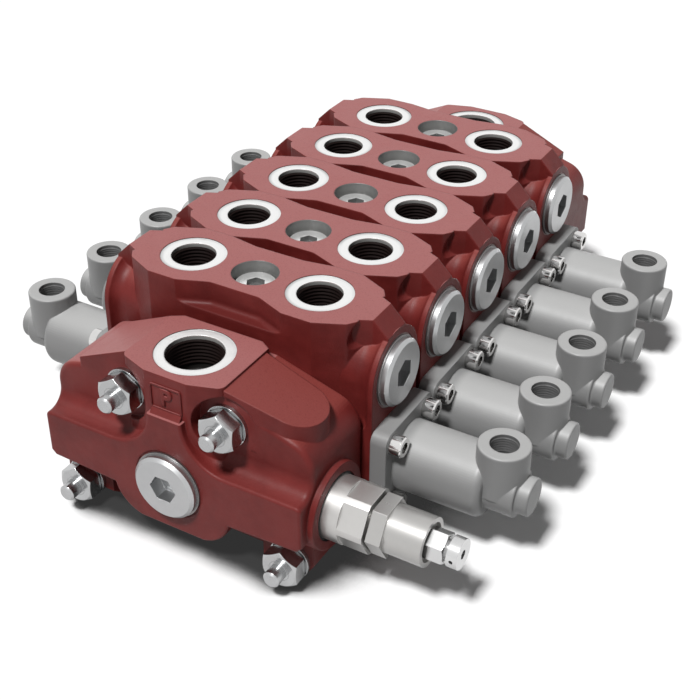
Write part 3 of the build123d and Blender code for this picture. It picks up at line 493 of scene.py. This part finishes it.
def plug_axis(finish):
    """Distance from the nearest side plug's axis."""
    return finish.radius(finish.past(finish.z, plug_level), finish.local_y())


def end_plug_axis(finish):
    """Distance from the end plugs' axis."""
    return finish.radius(finish.x, finish.past(finish.z, middle("end_plugs").z))


def check_axis(finish):
    """Distance from the nearest check plug's axis."""
    return finish.radius(finish.x, finish.local_y())


def spool_axis(finish):
    """Distance from the nearest spool's axis."""
    return finish.radius(finish.local_y(), finish.past(finish.z, spool_level))


def relief_axis(finish):
    """Distance from the relief valve's axis."""
    return finish.radius(finish.past(finish.y, relief_y), finish.past(finish.z, spool_level))


def stack_way(finish):
    """Distance along the stack, for pieces whose marks run across it."""
    return finish.y


def check_socket_shade(finish):
    """1 inside the check plugs' sockets, where painted shade goes."""
    depth = finish.math("SUBTRACT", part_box("check_plugs")[1].z, finish.z)
    return finish.both(finish.rise(check_axis(finish), *socket_radius), finish.rise(depth, *socket_depths))


def paint_red(finish, paint, shaded):
    """Cast skin under satin paint: mottled, with a painted highlight where it faces up towards the light and
    is not shaded.
    Returns its colour, roughness and normal."""
    unshaded = finish.math("SUBTRACT", 1.0, shaded)
    # How far a face points towards the light: up, and a little to the left
    lit = finish.math("SUBTRACT", finish.upward, finish.both(finish.rightward, 0.25))
    mottled = finish.noise(38.0, detail=4.0, roughness=0.6)
    grain = finish.noise(1400.0, detail=3.0, roughness=0.65)
    lump = finish.noise(170.0, detail=3.0)
    # Painted highlight on faces that point towards the light, left out where a face is shaded
    top_highlight = finish.both(finish.rise(lit, 0.88, 1.0), finish.scale(mottled, 0.85, 1.0), unshaded)
    # Painted half light on faces that slope up, left out where a face is shaded
    half_lit = finish.both(finish.rise(lit, 0.55, 0.88), unshaded)
    pores = finish.both(finish.rise(grain, 0.50, 0.75), 0.35)
    colour = finish.mix(finish.rise(mottled, 0.35, 0.75), paint.red, paint.red_dark_and_shade)
    colour = finish.mix(finish.both(finish.rise(lump, 0.45, 0.8), 0.25), colour, paint.red)
    colour = finish.mix(half_lit, colour, paint.red_half_lit)
    colour = finish.mix(top_highlight, colour, paint.red_lit)
    colour = finish.mix(pores, colour, paint.red_dark_and_shade)
    finish.set(specular_ior_level=0.22)
    skin = finish.math("ADD", finish.both(grain, 0.5), lump)
    normal = finish.bump(skin, casting_skin, finish.soft_edges(casting_edge), 0.65)
    return colour, finish.scale(lump, 0.38, 0.52), normal


def port_masks(finish, port, away):
    """Where a port's spotface is, the wall round it, and its bore.
    away is the distance from the port's axis."""
    wall_half = 0.0002
    shallow = finish.between(finish.z, port.face - spot_depth - 2 * hair, port.face - hair)
    spot = finish.both(
        finish.within(away, port.spot + speck), shallow, finish.rise(finish.upward, 0.4, 0.6)
    )
    wall = finish.both(
        finish.between(away, port.spot - wall_half, port.spot + wall_half), shallow,
        finish.rise(finish.upward, 0.6, 0.4),
    )
    bore = finish.both(
        finish.within(away, port.bore), finish.between(finish.z, port.foot, port.face - spot_depth - hair)
    )
    return spot, wall, bore


def port_iron(finish, paint, port, away, bore, rings):
    """Bare iron of a port: turned rings on the spotface, painted shade in patches towards its rim,
    and painted shade that darkens the bore a little way down."""
    # Painted shade: the spotface greys towards its rim, in patches that differ from port to port
    patches = finish.scale(finish.rise(finish.noise(30.0), 0.40, 0.62), 0.15, 0.7)
    rim_shade = finish.both(finish.rise(away, port.rim_shade_from, port.spot - 2 * hair), patches)
    dark_from = port.face - port.dark
    dark_full = dark_from - 0.0004
    iron = finish.mix(finish.scale(rings, 0.0, 0.45), paint.iron, ringed_iron)
    iron = finish.mix(rim_shade, iron, rim_shade_iron)
    iron = finish.mix(finish.both(bore, finish.rise(finish.upward, 0.9, 0.6)), iron, bore_iron)
    # Painted shade: the bore darkens from a little way down
    return finish.mix(finish.both(bore, finish.rise(finish.z, dark_from, dark_full)), iron, port.shade)


def paint_and_iron(finish, coat, wall, bare, iron, rings, metal):
    """The coat of paint with the machined places left bare, and painted shade on the walls round the
    spotfaces.
    """
    colour, roughness, normal = coat
    return finish.set(
        # Painted shade: a near-black red on the walls round the spotfaces
        base_color=finish.mix(bare, finish.mix(wall, colour, wall_shade_red), iron),
        roughness=finish.blend(bare, roughness, finish.scale(rings, 0.26, 0.42)),
        normal=finish.bump(finish.both(rings, bare), ring_depth, normal, 0.5),
        metallic=finish.both(metal, 0.4),
    )


def section_paint(paint):
    """Paint of the working sections, with their machined faces left bare."""
    finish = Finish("section_casting_paint")
    side = finish.math("ABSOLUTE", finish.x)
    # Painted shade in the sections' waists, which also keeps the painted highlight off them
    waist_shade = finish.both(
        finish.rise(side, *waist_shade_sides), finish.between(finish.z, *waist_shade_levels, edge=0.0015), 0.8
    )
    away = finish.radius(finish.past(side, service_x), finish.local_y())
    from_check = check_axis(finish)
    spot, wall, bore = port_masks(finish, service_port, away)
    recess = finish.both(
        finish.within(from_check, recess_radius),
        finish.between(finish.z, recess_foot, service_top - speck),
    )
    seat = finish.both(
        finish.within(plug_axis(finish), seat_radius),
        finish.between(side, side_x - seat_depth, side_x - 2 * hair),
    )
    rings = finish.rings(finish.blend(finish.either(spot, bore), from_check, away))
    iron = finish.mix(recess, port_iron(finish, paint, service_port, away, bore, rings), recess_iron)
    colour, roughness, normal = paint_red(finish, paint, waist_shade)
    # The waist is darkened with painted shade; the seat round a side plug is pale red
    colour = finish.mix(seat, finish.mix(waist_shade, colour, paint.red_dark_and_shade), seat_red)
    bare, metal = finish.either(spot, bore, recess), finish.either(spot, seat, recess)
    return paint_and_iron(finish, (colour, roughness, normal), wall, bare, iron, rings, metal)


def end_paint(paint):
    """Paint of the inlet and outlet castings, with their machined faces left bare."""
    finish = Finish("end_casting_paint")
    away = finish.radius(finish.x, finish.past(finish.math("ABSOLUTE", finish.y), main_y))
    spot, wall, bore = port_masks(finish, main_port, away)
    relief_bore_shade = finish.both(
        finish.within(relief_axis(finish), hollow_radius), finish.between(finish.x, *hollow_reach)
    )
    rings = finish.rings(away)
    iron = port_iron(finish, paint, main_port, away, bore, rings)
    # Low places of the end castings count as shaded, so the painted highlight stays off them
    shaded = finish.scale(finish.rise(finish.z, *shade_levels), 0.9, 0.0)
    colour, roughness, normal = paint_red(finish, paint, shaded)
    # Painted shade: the bore round the relief valve is painted black
    colour = finish.mix(relief_bore_shade, colour, hollow_shade_black)
    bare = finish.either(spot, bore)
    return paint_and_iron(finish, (colour, roughness, normal), wall, bare, iron, rings, spot)


def cap_paint(paint):
    """Satin grey paint on the caps' cast skin, with a painted highlight on the barrels' upward faces and
    painted shade in the pilot bores.
    """
    finish = Finish("pilot_cap_paint")
    side = finish.math("ABSOLUTE", finish.x)
    away = finish.radius(finish.past(side, pilot_x), finish.local_y())
    # Painted shade in the pilot bores
    bore = finish.both(
        finish.within(away, pilot_radius), finish.within(finish.z, pilot_top - 2 * hair), 0.7
    )
    mottled = finish.noise(60.0, detail=3.0, roughness=0.55)
    grain = finish.noise(1500.0, roughness=0.6)
    lump = finish.noise(210.0)
    barrel = finish.scale(finish.rise(side, *barrel_start), 0.25, 0.85)
    # Painted highlight: faces that point up on the barrels are paler, the flanges less so
    pale = finish.both(finish.rise(finish.upward, 0.35, 1.0), barrel)
    colour = finish.mix(finish.scale(mottled, 0.0, 0.5), paint.grey, grey_mottle)
    colour = finish.mix(bore, finish.mix(pale, colour, grey_lit), grey_bore_shade)
    skin = finish.math("ADD", finish.both(grain, 0.3), lump)
    return finish.set(
        base_color=colour,
        roughness=finish.scale(lump, 0.34, 0.46),
        normal=finish.bump(skin, cap_skin, finish.soft_edges(cap_edge), 0.4),
        specular_ior_level=0.4,
    )


def plated(name, colour, radius_of, rough, fine=0.00002, edge=0.0003, metal=1.0, shade_mask_of=None):
    """Plated steel with turned rings, whose depth is fine, and painted shade on faces that point down.
    radius_of gives the distance from the nearest axis, rough is the least and the most roughness, and
    shade_mask_of is 1 where painted shade darkens it."""

    def darker(share):
        return tuple(share * part for part in colour)

    finish = Finish(name)
    rings = finish.rings(radius_of(finish))
    cloud = finish.noise(120.0, detail=4.0, roughness=0.6)
    shade = finish.mix(finish.scale(cloud, 0.0, 0.6), colour, darker(0.72))
    # Painted shade: faces that point down are darker
    shade = finish.mix(finish.rise(finish.upward, -0.9, 0.3), darker(0.4), shade)
    # Painted shade in a hollow, where the mask gives it
    if shade_mask_of:
        shade = finish.mix(shade_mask_of(finish), shade, darker(0.3))
    return finish.set(
        base_color=shade,
        roughness=finish.math("ADD", finish.scale(cloud, *rough), finish.scale(rings, -0.03, 0.03)),
        normal=finish.bump(rings, fine, finish.soft_edges(edge), 0.6),
        metallic=metal,
    )


class VALVE_OT_castings(Operator):
    """Paints the sections and the inlet and outlet castings"""

    bl_idname = "valve.castings"
    bl_label = "Castings"

    def execute(self, context):
        paint = context.scene.valve_paint
        dress([f"section_{i}" for i in sections], section_paint(paint))
        dress(["inlet_section", "outlet_section"], end_paint(paint))
        return {"FINISHED"}


class VALVE_OT_caps(Operator):
    """Paints the pilot caps"""

    bl_idname = "valve.caps"
    bl_label = "Pilot caps"

    def execute(self, context):
        dress(nodes_like("pilot_cap"), cap_paint(context.scene.valve_paint))
        return {"FINISHED"}


class VALVE_OT_plugs(Operator):
    """Plates the side, end and check plugs and their rings"""

    bl_idname = "valve.plugs"
    bl_label = "Plugs"

    def execute(self, context):
        zinc = context.scene.valve_paint.zinc
        side = plated("side_plug_zinc", zinc, plug_axis, (0.26, 0.4), fine=plug_ring_depth, edge=plug_edge)
        end = plated("end_plug_zinc", zinc, end_plug_axis, (0.3, 0.44), fine=plug_ring_depth, edge=plug_edge)
        check = plated(
            "check_plug_zinc", bright_zinc, check_axis, (0.12, 0.26), fine=0.00016, metal=0.65,
            shade_mask_of=check_socket_shade,
        )
        ring = plated("plug_ring_metal", ring_metal, plug_axis, (0.4, 0.5))
        dress(["side_plugs"], side)
        dress(["end_plugs"], end)
        dress(["check_plugs"], check)
        dress(["plug_rings"], ring)
        return {"FINISHED"}


class VALVE_OT_fasteners(Operator):
    """Plates the cap screws, the tie rods, and their nuts and washers"""

    bl_idname = "valve.fasteners"
    bl_label = "Screws and tie rods"

    def execute(self, context):
        zinc = context.scene.valve_paint.zinc
        dress(["cap_screws"], plated("cap_screw_chrome", screw_chrome, spool_axis, (0.05, 0.14)))
        dress(["tie_rods"], plated("tie_rod_zinc", zinc, stack_way, (0.2, 0.34)))
        dress(["tie_rod_nuts", "tie_rod_washers"], plated("nut_zinc", zinc, stack_way, (0.16, 0.3)))
        return {"FINISHED"}


class VALVE_OT_relief(Operator):
    """Plates the relief valve"""

    bl_idname = "valve.relief"
    bl_label = "Relief valve"

    def execute(self, context):
        nickel = context.scene.valve_paint.nickel
        duller = tuple(0.85 * part for part in nickel)
        body = plated("relief_body_nickel", nickel, relief_axis, (0.24, 0.46), fine=0.00004, metal=0.8)
        sleeve = plated("relief_sleeve_nickel", duller, relief_axis, (0.24, 0.36), metal=0.85)
        zinc = plated("adjuster_zinc", adjuster_zinc, relief_axis, (0.16, 0.3))
        dress(["relief_body"], body)
        dress(["relief_sleeve"], sleeve)
        dress(["relief_lock_nut", "relief_adjuster"], zinc)
        return {"FINISHED"}


class VALVE_OT_inside(Operator):
    """Gives the spools, poppets, spring seats and seals inside their steel and rubber"""

    bl_idname = "valve.inside"
    bl_label = "Inside"

    def execute(self, context):
        ground = plated("ground_steel", ground_steel, spool_axis, (0.12, 0.22), fine=0.00001)
        dress(nodes_like("spool_", "spring_seats", "check_poppet"), ground)
        dress(["relief_poppet", "relief_spring_seat"], ground)
        finish = Finish("seal_rubber")
        dust = finish.noise(240.0, detail=3.0)
        rubber = finish.set(
            base_color=finish.mix(finish.scale(dust, 0.0, 0.4), rubber_black, rubber_dust),
            roughness=finish.scale(dust, 0.45, 0.7),
            normal=finish.bump(dust, 0.00005),
        )
        dress(["cap_seals", "section_seals", "relief_ring"], rubber)
        return {"FINISHED"}


def deselect():
    """Leaves nothing selected and object mode on."""
    if bpy.context.object and bpy.context.object.mode != "OBJECT":
        bpy.ops.object.mode_set(mode="OBJECT")
    bpy.ops.object.select_all(action="DESELECT")


def complete(piece, name, material):
    """Puts the selected piece's place in its mesh, and gives it its name and material."""
    bpy.ops.object.transform_apply(location=True, rotation=True, scale=True)
    piece.name = name
    piece.data.materials.clear()
    piece.data.materials.append(material)


def settle(piece, name, body, material):
    """Completes the selected piece, and lets it ride on a body."""
    complete(piece, name, material)
    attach(piece, body)


def thread_sleeve(outer, inner, thread_pitch, length, steps):
    """A closed sleeve with thread ridges inside, from z = 0 down. It is left active, in object mode."""
    deselect()
    bpy.ops.mesh.primitive_circle_add(vertices=steps, radius=outer, fill_type="NOTHING", location=(0, 0, 0))
    sleeve = bpy.context.object
    bpy.ops.object.mode_set(mode="EDIT")
    bpy.ops.mesh.select_all(action="SELECT")
    root, lip = outer - 0.0001, 0.00001
    # Radius at each edge of a ridge, and the way down to it as a share of the pitch
    ridge = ((inner, 0.42), (inner, 0.12), (root, 0.42), (root, 0.04))
    moves = [(outer - 2 * lip, -lip)]
    for _ in range(int(length / thread_pitch)):
        moves += [(target, -share * thread_pitch) for target, share in ridge]
    radius = outer
    for target, step in moves:
        bpy.ops.mesh.extrude_region_move(TRANSFORM_OT_translate={"value": (0, 0, step)})
        bpy.ops.transform.resize(value=(target / radius, target / radius, 1), center_override=(0, 0, 0))
        radius = target
    depth = -sum(step for _, step in moves)
    bpy.ops.mesh.extrude_region_move(TRANSFORM_OT_translate={"value": (0, 0, -lip)})
    bpy.ops.transform.resize(value=(outer / radius, outer / radius, 1), center_override=(0, 0, 0))
    bpy.ops.mesh.extrude_region_move(TRANSFORM_OT_translate={"value": (0, 0, depth + lip)})
    bpy.ops.mesh.select_all(action="SELECT")
    bpy.ops.mesh.remove_doubles(threshold=0.000001)
    bpy.ops.mesh.normals_make_consistent(inside=False)
    bpy.ops.object.mode_set(mode="OBJECT")
    bpy.ops.object.shade_smooth_by_angle(angle=radians(25))
    return sleeve


def spread(sleeve, places, name, material):
    """Copies of a sleeve at these places, joined into one piece on the stack."""
    copies = []
    for x, y, z in places:
        deselect()
        sleeve.select_set(True)
        bpy.context.view_layer.objects.active = sleeve
        bpy.ops.object.duplicate(linked=False)
        copy = bpy.context.object
        copy.location = (x, y, z)
        copies.append(copy)
    deselect()
    bpy.data.objects.remove(sleeve)
    for copy in copies:
        copy.select_set(True)
    bpy.context.view_layer.objects.active = copies[0]
    bpy.ops.object.transform_apply(location=True, rotation=True, scale=True)
    bpy.ops.object.join()
    settle(bpy.context.object, name, "stack", material)


def coil(name, node, foot, head, radius, wire, turns, material):
    """A closed coil of wire from foot to head, which are the middles of its end turns on the axis."""
    wire_sides, turn_steps = 12, 32
    foot, head = Vector(foot), Vector(head)
    along = head - foot
    deselect()
    bpy.ops.mesh.primitive_circle_add(
        vertices=wire_sides, radius=wire, location=(radius, 0, 0), rotation=(pi / 2, 0, 0)
    )
    bpy.ops.object.transform_apply(location=True, rotation=True, scale=True)
    piece = bpy.context.object
    winding = piece.modifiers.new("winding", "SCREW")
    winding.iterations = turns
    winding.screw_offset = along.length / turns
    winding.steps = winding.render_steps = turn_steps
    bpy.ops.object.modifier_apply(modifier="winding")
    bpy.ops.object.mode_set(mode="EDIT")
    bpy.ops.mesh.select_all(action="SELECT")
    bpy.ops.mesh.fill_holes(sides=0)
    bpy.ops.mesh.normals_make_consistent(inside=False)
    bpy.ops.object.mode_set(mode="OBJECT")
    bpy.ops.object.shade_smooth_by_angle(angle=radians(60))
    piece.matrix_world = Matrix.Translation(foot) @ along.to_track_quat("Z", "Y").to_matrix().to_4x4()
    complete(piece, name, material)
    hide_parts(node)
    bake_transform(piece)


class VALVE_OT_springs(Operator):
    """Winds the springs, in place of the frame's spring nodes"""

    bl_idname = "valve.springs"
    bl_label = "Springs"

    def execute(self, context):
        springs = context.scene.valve_springs
        steel = plated("coil_wire", wire_steel, stack_way, (0.3, 0.5))
        for i, y in zip(sections, section_y):
            node, wire = f"centring_springs_{i}", springs.centring_wire
            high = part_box(node)[1]
            foot_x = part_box(f"spring_seats_{i}")[1].x + springs.seat_gap + wire
            head_x = high.x - wire
            for side, way in (("right", 1), ("left", -1)):
                coil(
                    f"centring_coil_{side}_{i}", node,
                    foot=(way * foot_x, y, spool_level), head=(way * head_x, y, spool_level),
                    radius=high.y - y - wire, wire=wire, turns=springs.centring_turns, material=steel,
                )
            node, wire = f"check_spring_{i}", springs.check_wire
            low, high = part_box(node)
            coil(
                f"check_coil_{i}", node, foot=(0, y, low.z + wire), head=(0, y, high.z - wire),
                radius=high.x - wire, wire=wire, turns=springs.check_turns, material=steel,
            )
        node, wire = "relief_spring", springs.relief_wire
        low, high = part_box(node)
        coil(
            "relief_coil", node,
            foot=(low.x + wire, relief_y, spool_level), head=(high.x - wire, relief_y, spool_level),
            radius=high.z - spool_level - wire, wire=wire, turns=springs.relief_turns, material=steel,
        )
        return {"FINISHED"}


def thread_iron():
    """Oiled bare iron of the cut threads."""
    finish = Finish("thread_iron")
    cloud = finish.noise(300.0, detail=3.0)
    return finish.set(
        base_color=finish.mix(finish.scale(cloud, 0.0, 0.6), oiled_iron, oiled_dark),
        roughness=finish.scale(cloud, 0.55, 0.75),
        normal=finish.bump(cloud, 0.00003),
        metallic=0.0,
        specular_ior_level=0.08,
    )


def thread_ports(name, mount, spots, start, thread_pitch, height, threads, material):
    """Thread ridges in like ports, at their spots in plan and down from the level start. Their radius
    and length come from one port's mount, and height is the ridges' height as a share of the pitch."""
    size = mounts[mount]["dims"]
    outer = size["r_mm"] / 1000 - threads.play
    length = size["length_mm"] / 1000 - 2 * thread_pitch
    sleeve = thread_sleeve(outer, outer - height * thread_pitch, thread_pitch, length, threads.steps)
    spread(sleeve, [(x, y, start - thread_pitch) for x, y in spots], name, material)


class VALVE_OT_threads(Operator):
    """Cuts thread ridges in the service, pilot and main ports"""

    bl_idname = "valve.threads"
    bl_label = "Port threads"

    def execute(self, context):
        threads = context.scene.valve_threads
        iron = thread_iron()
        grey = frame["nodes"]["pilot_cap_right_1"].material_slots[0].material
        sides = [(way, y) for y in section_y for way in (-1, 1)]
        thread_ports(
            "service_port_threads", "service_port_right_1", [(way * service_x, y) for way, y in sides],
            service_top - spot_depth, threads.service_pitch, threads.height, threads, iron,
        )
        thread_ports(
            "pilot_port_threads", "pilot_port_right_1", [(way * pilot_x, y) for way, y in sides],
            pilot_top - threads.pilot_lead, threads.pilot_pitch, threads.pilot_height, threads, grey,
        )
        thread_ports(
            "main_port_threads", "tank_port", [(0, -main_y), (0, main_y)],
            main_top - spot_depth, threads.service_pitch, threads.height, threads, iron,
        )
        return {"FINISHED"}


def port_letter(letter, way, letters, material, name):
    """A raised port letter in a thin raised frame on a column's face.
    way is -1 at the front of the stack and 1 at its back."""
    deselect()
    bpy.ops.object.text_add(location=(0, 0, 0))
    text = bpy.context.object
    text.data.body = letter
    text.data.size = letters.size
    text.data.align_x = "CENTER"
    text.data.align_y = "CENTER"
    text.data.offset = letters.swell
    text.data.extrude = letters.raised
    text.data.bevel_depth = 0.0001
    text.data.resolution_u = 6
    bpy.ops.object.convert(target="MESH")
    mark = bpy.context.object
    deselect()
    bpy.ops.mesh.primitive_plane_add(size=1.0, location=(0, 0, 0))
    rim = bpy.context.object
    bpy.ops.object.mode_set(mode="EDIT")
    bpy.ops.mesh.select_all(action="SELECT")
    bpy.ops.transform.resize(value=(letters.frame_width, letters.frame_height, 1))
    bpy.ops.mesh.bevel(offset=letters.frame_corner, segments=3, affect="VERTICES")
    bpy.ops.mesh.inset(thickness=letters.frame_bar)
    bpy.ops.mesh.delete(type="FACE")
    bpy.ops.mesh.select_all(action="SELECT")
    bpy.ops.mesh.extrude_region_move(TRANSFORM_OT_translate={"value": (0, 0, letters.raised)})
    bpy.ops.mesh.select_all(action="SELECT")
    bpy.ops.mesh.normals_make_consistent(inside=False)
    bpy.ops.object.mode_set(mode="OBJECT")
    deselect()
    for piece in (rim, mark):
        piece.select_set(True)
    bpy.context.view_layer.objects.active = rim
    bpy.ops.object.join()
    upright = Matrix.Rotation(pi if way > 0 else 0.0, 4, "Z") @ Matrix.Rotation(pi / 2, 4, "X")
    face = letters.stand_off - letters.pad_depth - casting_front
    rim.matrix_world = Matrix.Translation((0, way * face, letters.level)) @ upright
    settle(rim, name, "stack", material)


class VALVE_OT_letters(Operator):
    """Stands the raised port letters on the inlet and outlet columns"""

    bl_idname = "valve.letters"
    bl_label = "Port letters"

    def execute(self, context):
        letters = context.scene.valve_letters
        paint = frame["nodes"]["inlet_section"].material_slots[0].material
        port_letter("P", -1, letters, paint, "inlet_port_letter")
        port_letter("T", 1, letters, paint, "outlet_port_letter")
        return {"FINISHED"}


def floor_material(added, bounce, reach):
    """White floor with a painted contact shadow close under the valve, and grey in the light that it throws
    back at the valve.
    """
    finish = Finish("floor_white")
    path = finish.node("ShaderNodeLightPath")
    seen = finish.either(
        path.outputs["Is Camera Ray"], path.outputs["Is Glossy Ray"], path.outputs["Is Transmission Ray"]
    )
    # Painted contact shadow: the floor darkens where the valve is near it
    contact_shadow = finish.node("ShaderNodeAmbientOcclusion", samples=32)
    finish.feed(contact_shadow.inputs["Distance"], reach)
    shown = finish.mix(finish.rise(contact_shadow.outputs["AO"], 0.36, 0.64), floor_shadow_dark, floor_pale)
    return finish.set(
        base_color=finish.mix(seen, (bounce,) * 3, shown),
        roughness=0.9,
        specular_ior_level=0.0,
        emission_color=(1, 1, 1),
        emission_strength=finish.both(seen, added),
    )


def outward(azimuth, elevation):
    """The direction from the valve at this turn and height; turn 0 is the front."""
    return Vector((sin(azimuth) * cos(elevation), -cos(azimuth) * cos(elevation), sin(elevation)))


class VALVE_OT_studio(Operator):
    """Sets up the floor, the soft lights and the camera"""

    bl_idname = "valve.studio"
    bl_label = "Studio"

    def execute(self, context):
        studio = context.scene.valve_studio
        scene = context.scene
        deselect()
        bpy.ops.mesh.primitive_plane_add(size=12.0, location=(0, 0, 0))
        floor = context.object
        floor.name = "floor"
        material = floor_material(studio.floor_white, studio.floor_bounce, studio.contact_reach)
        floor.data.materials.append(material)

        world = bpy.data.worlds.new("studio")
        scene.world = world
        world.use_nodes = True
        tree = world.node_tree
        back = tree.nodes["Background"]
        path = tree.nodes.new("ShaderNodeLightPath")
        seen = tree.nodes.new("ShaderNodeMath")
        seen.operation = "MAXIMUM"
        tree.links.new(path.outputs["Is Camera Ray"], seen.inputs[0])
        tree.links.new(path.outputs["Is Glossy Ray"], seen.inputs[1])
        level = tree.nodes.new("ShaderNodeMapRange")
        tree.links.new(seen.outputs[0], level.inputs["Value"])
        level.inputs["To Min"].default_value = studio.world_level
        level.inputs["To Max"].default_value = 1.0
        tree.links.new(level.outputs["Result"], back.inputs["Strength"])
        back.inputs["Color"].default_value = (1, 1, 1, 1)

        key = bpy.data.lights.new("key", "SUN")
        key.energy = studio.key_strength
        key.angle = studio.key_width
        holder = bpy.data.objects.new("key", key)
        scene.collection.objects.link(holder)
        holder.rotation_mode = "QUATERNION"
        towards_key = outward(studio.key_azimuth, studio.key_elevation)
        holder.rotation_quaternion = towards_key.to_track_quat("Z", "Y")

        roll = studio.roll
        away = outward(studio.azimuth, studio.elevation)
        right = Vector((0, 0, 1)).cross(away).normalized()
        up = away.cross(right)
        turned_right = cos(roll) * right + sin(roll) * up
        turned_up = cos(roll) * up - sin(roll) * right
        data = bpy.data.cameras.new("camera")
        data.lens = studio.lens
        data.sensor_width = 36.0
        data.clip_start = 0.01
        data.clip_end = 50.0
        camera = bpy.data.objects.new("camera", data)
        scene.collection.objects.link(camera)
        turn = Matrix((turned_right, turned_up, away)).transposed().to_4x4()
        camera.matrix_world = Matrix.Translation(studio.eye) @ turn
        scene.camera = camera
        scene.view_settings.view_transform = "Standard"
        return {"FINISHED"}


class VALVE_PT_panel(Panel):
    """Lists the steps that dress the valve"""

    bl_idname = "VALVE_PT_panel"
    bl_label = "Control valve"
    bl_space_type = "VIEW_3D"
    bl_region_type = "UI"
    bl_category = "Valve"

    def draw(self, context):
        for step in steps:
            self.layout.operator(step.bl_idname)


steps = (
    VALVE_OT_castings,
    VALVE_OT_caps,
    VALVE_OT_plugs,
    VALVE_OT_fasteners,
    VALVE_OT_relief,
    VALVE_OT_inside,
    VALVE_OT_springs,
    VALVE_OT_threads,
    VALVE_OT_letters,
    VALVE_OT_studio,
)
groups = {
    "valve_paint": ValvePaint,
    "valve_threads": ValveThreads,
    "valve_springs": ValveSprings,
    "valve_letters": ValveLetters,
    "valve_studio": ValveStudio,
}


def register():
    for kind in (*groups.values(), *steps, VALVE_PT_panel):
        bpy.utils.register_class(kind)
    for name, kind in groups.items():
        setattr(bpy.types.Scene, name, PointerProperty(type=kind))


def unregister():
    for name in groups:
        delattr(bpy.types.Scene, name)
    for kind in reversed((*groups.values(), *steps, VALVE_PT_panel)):
        bpy.utils.unregister_class(kind)


def main():
    register()
    for step in steps:
        area, action = step.bl_idname.split(".")
        getattr(getattr(bpy.ops, area), action)()


if __name__ == "__main__":
    main()
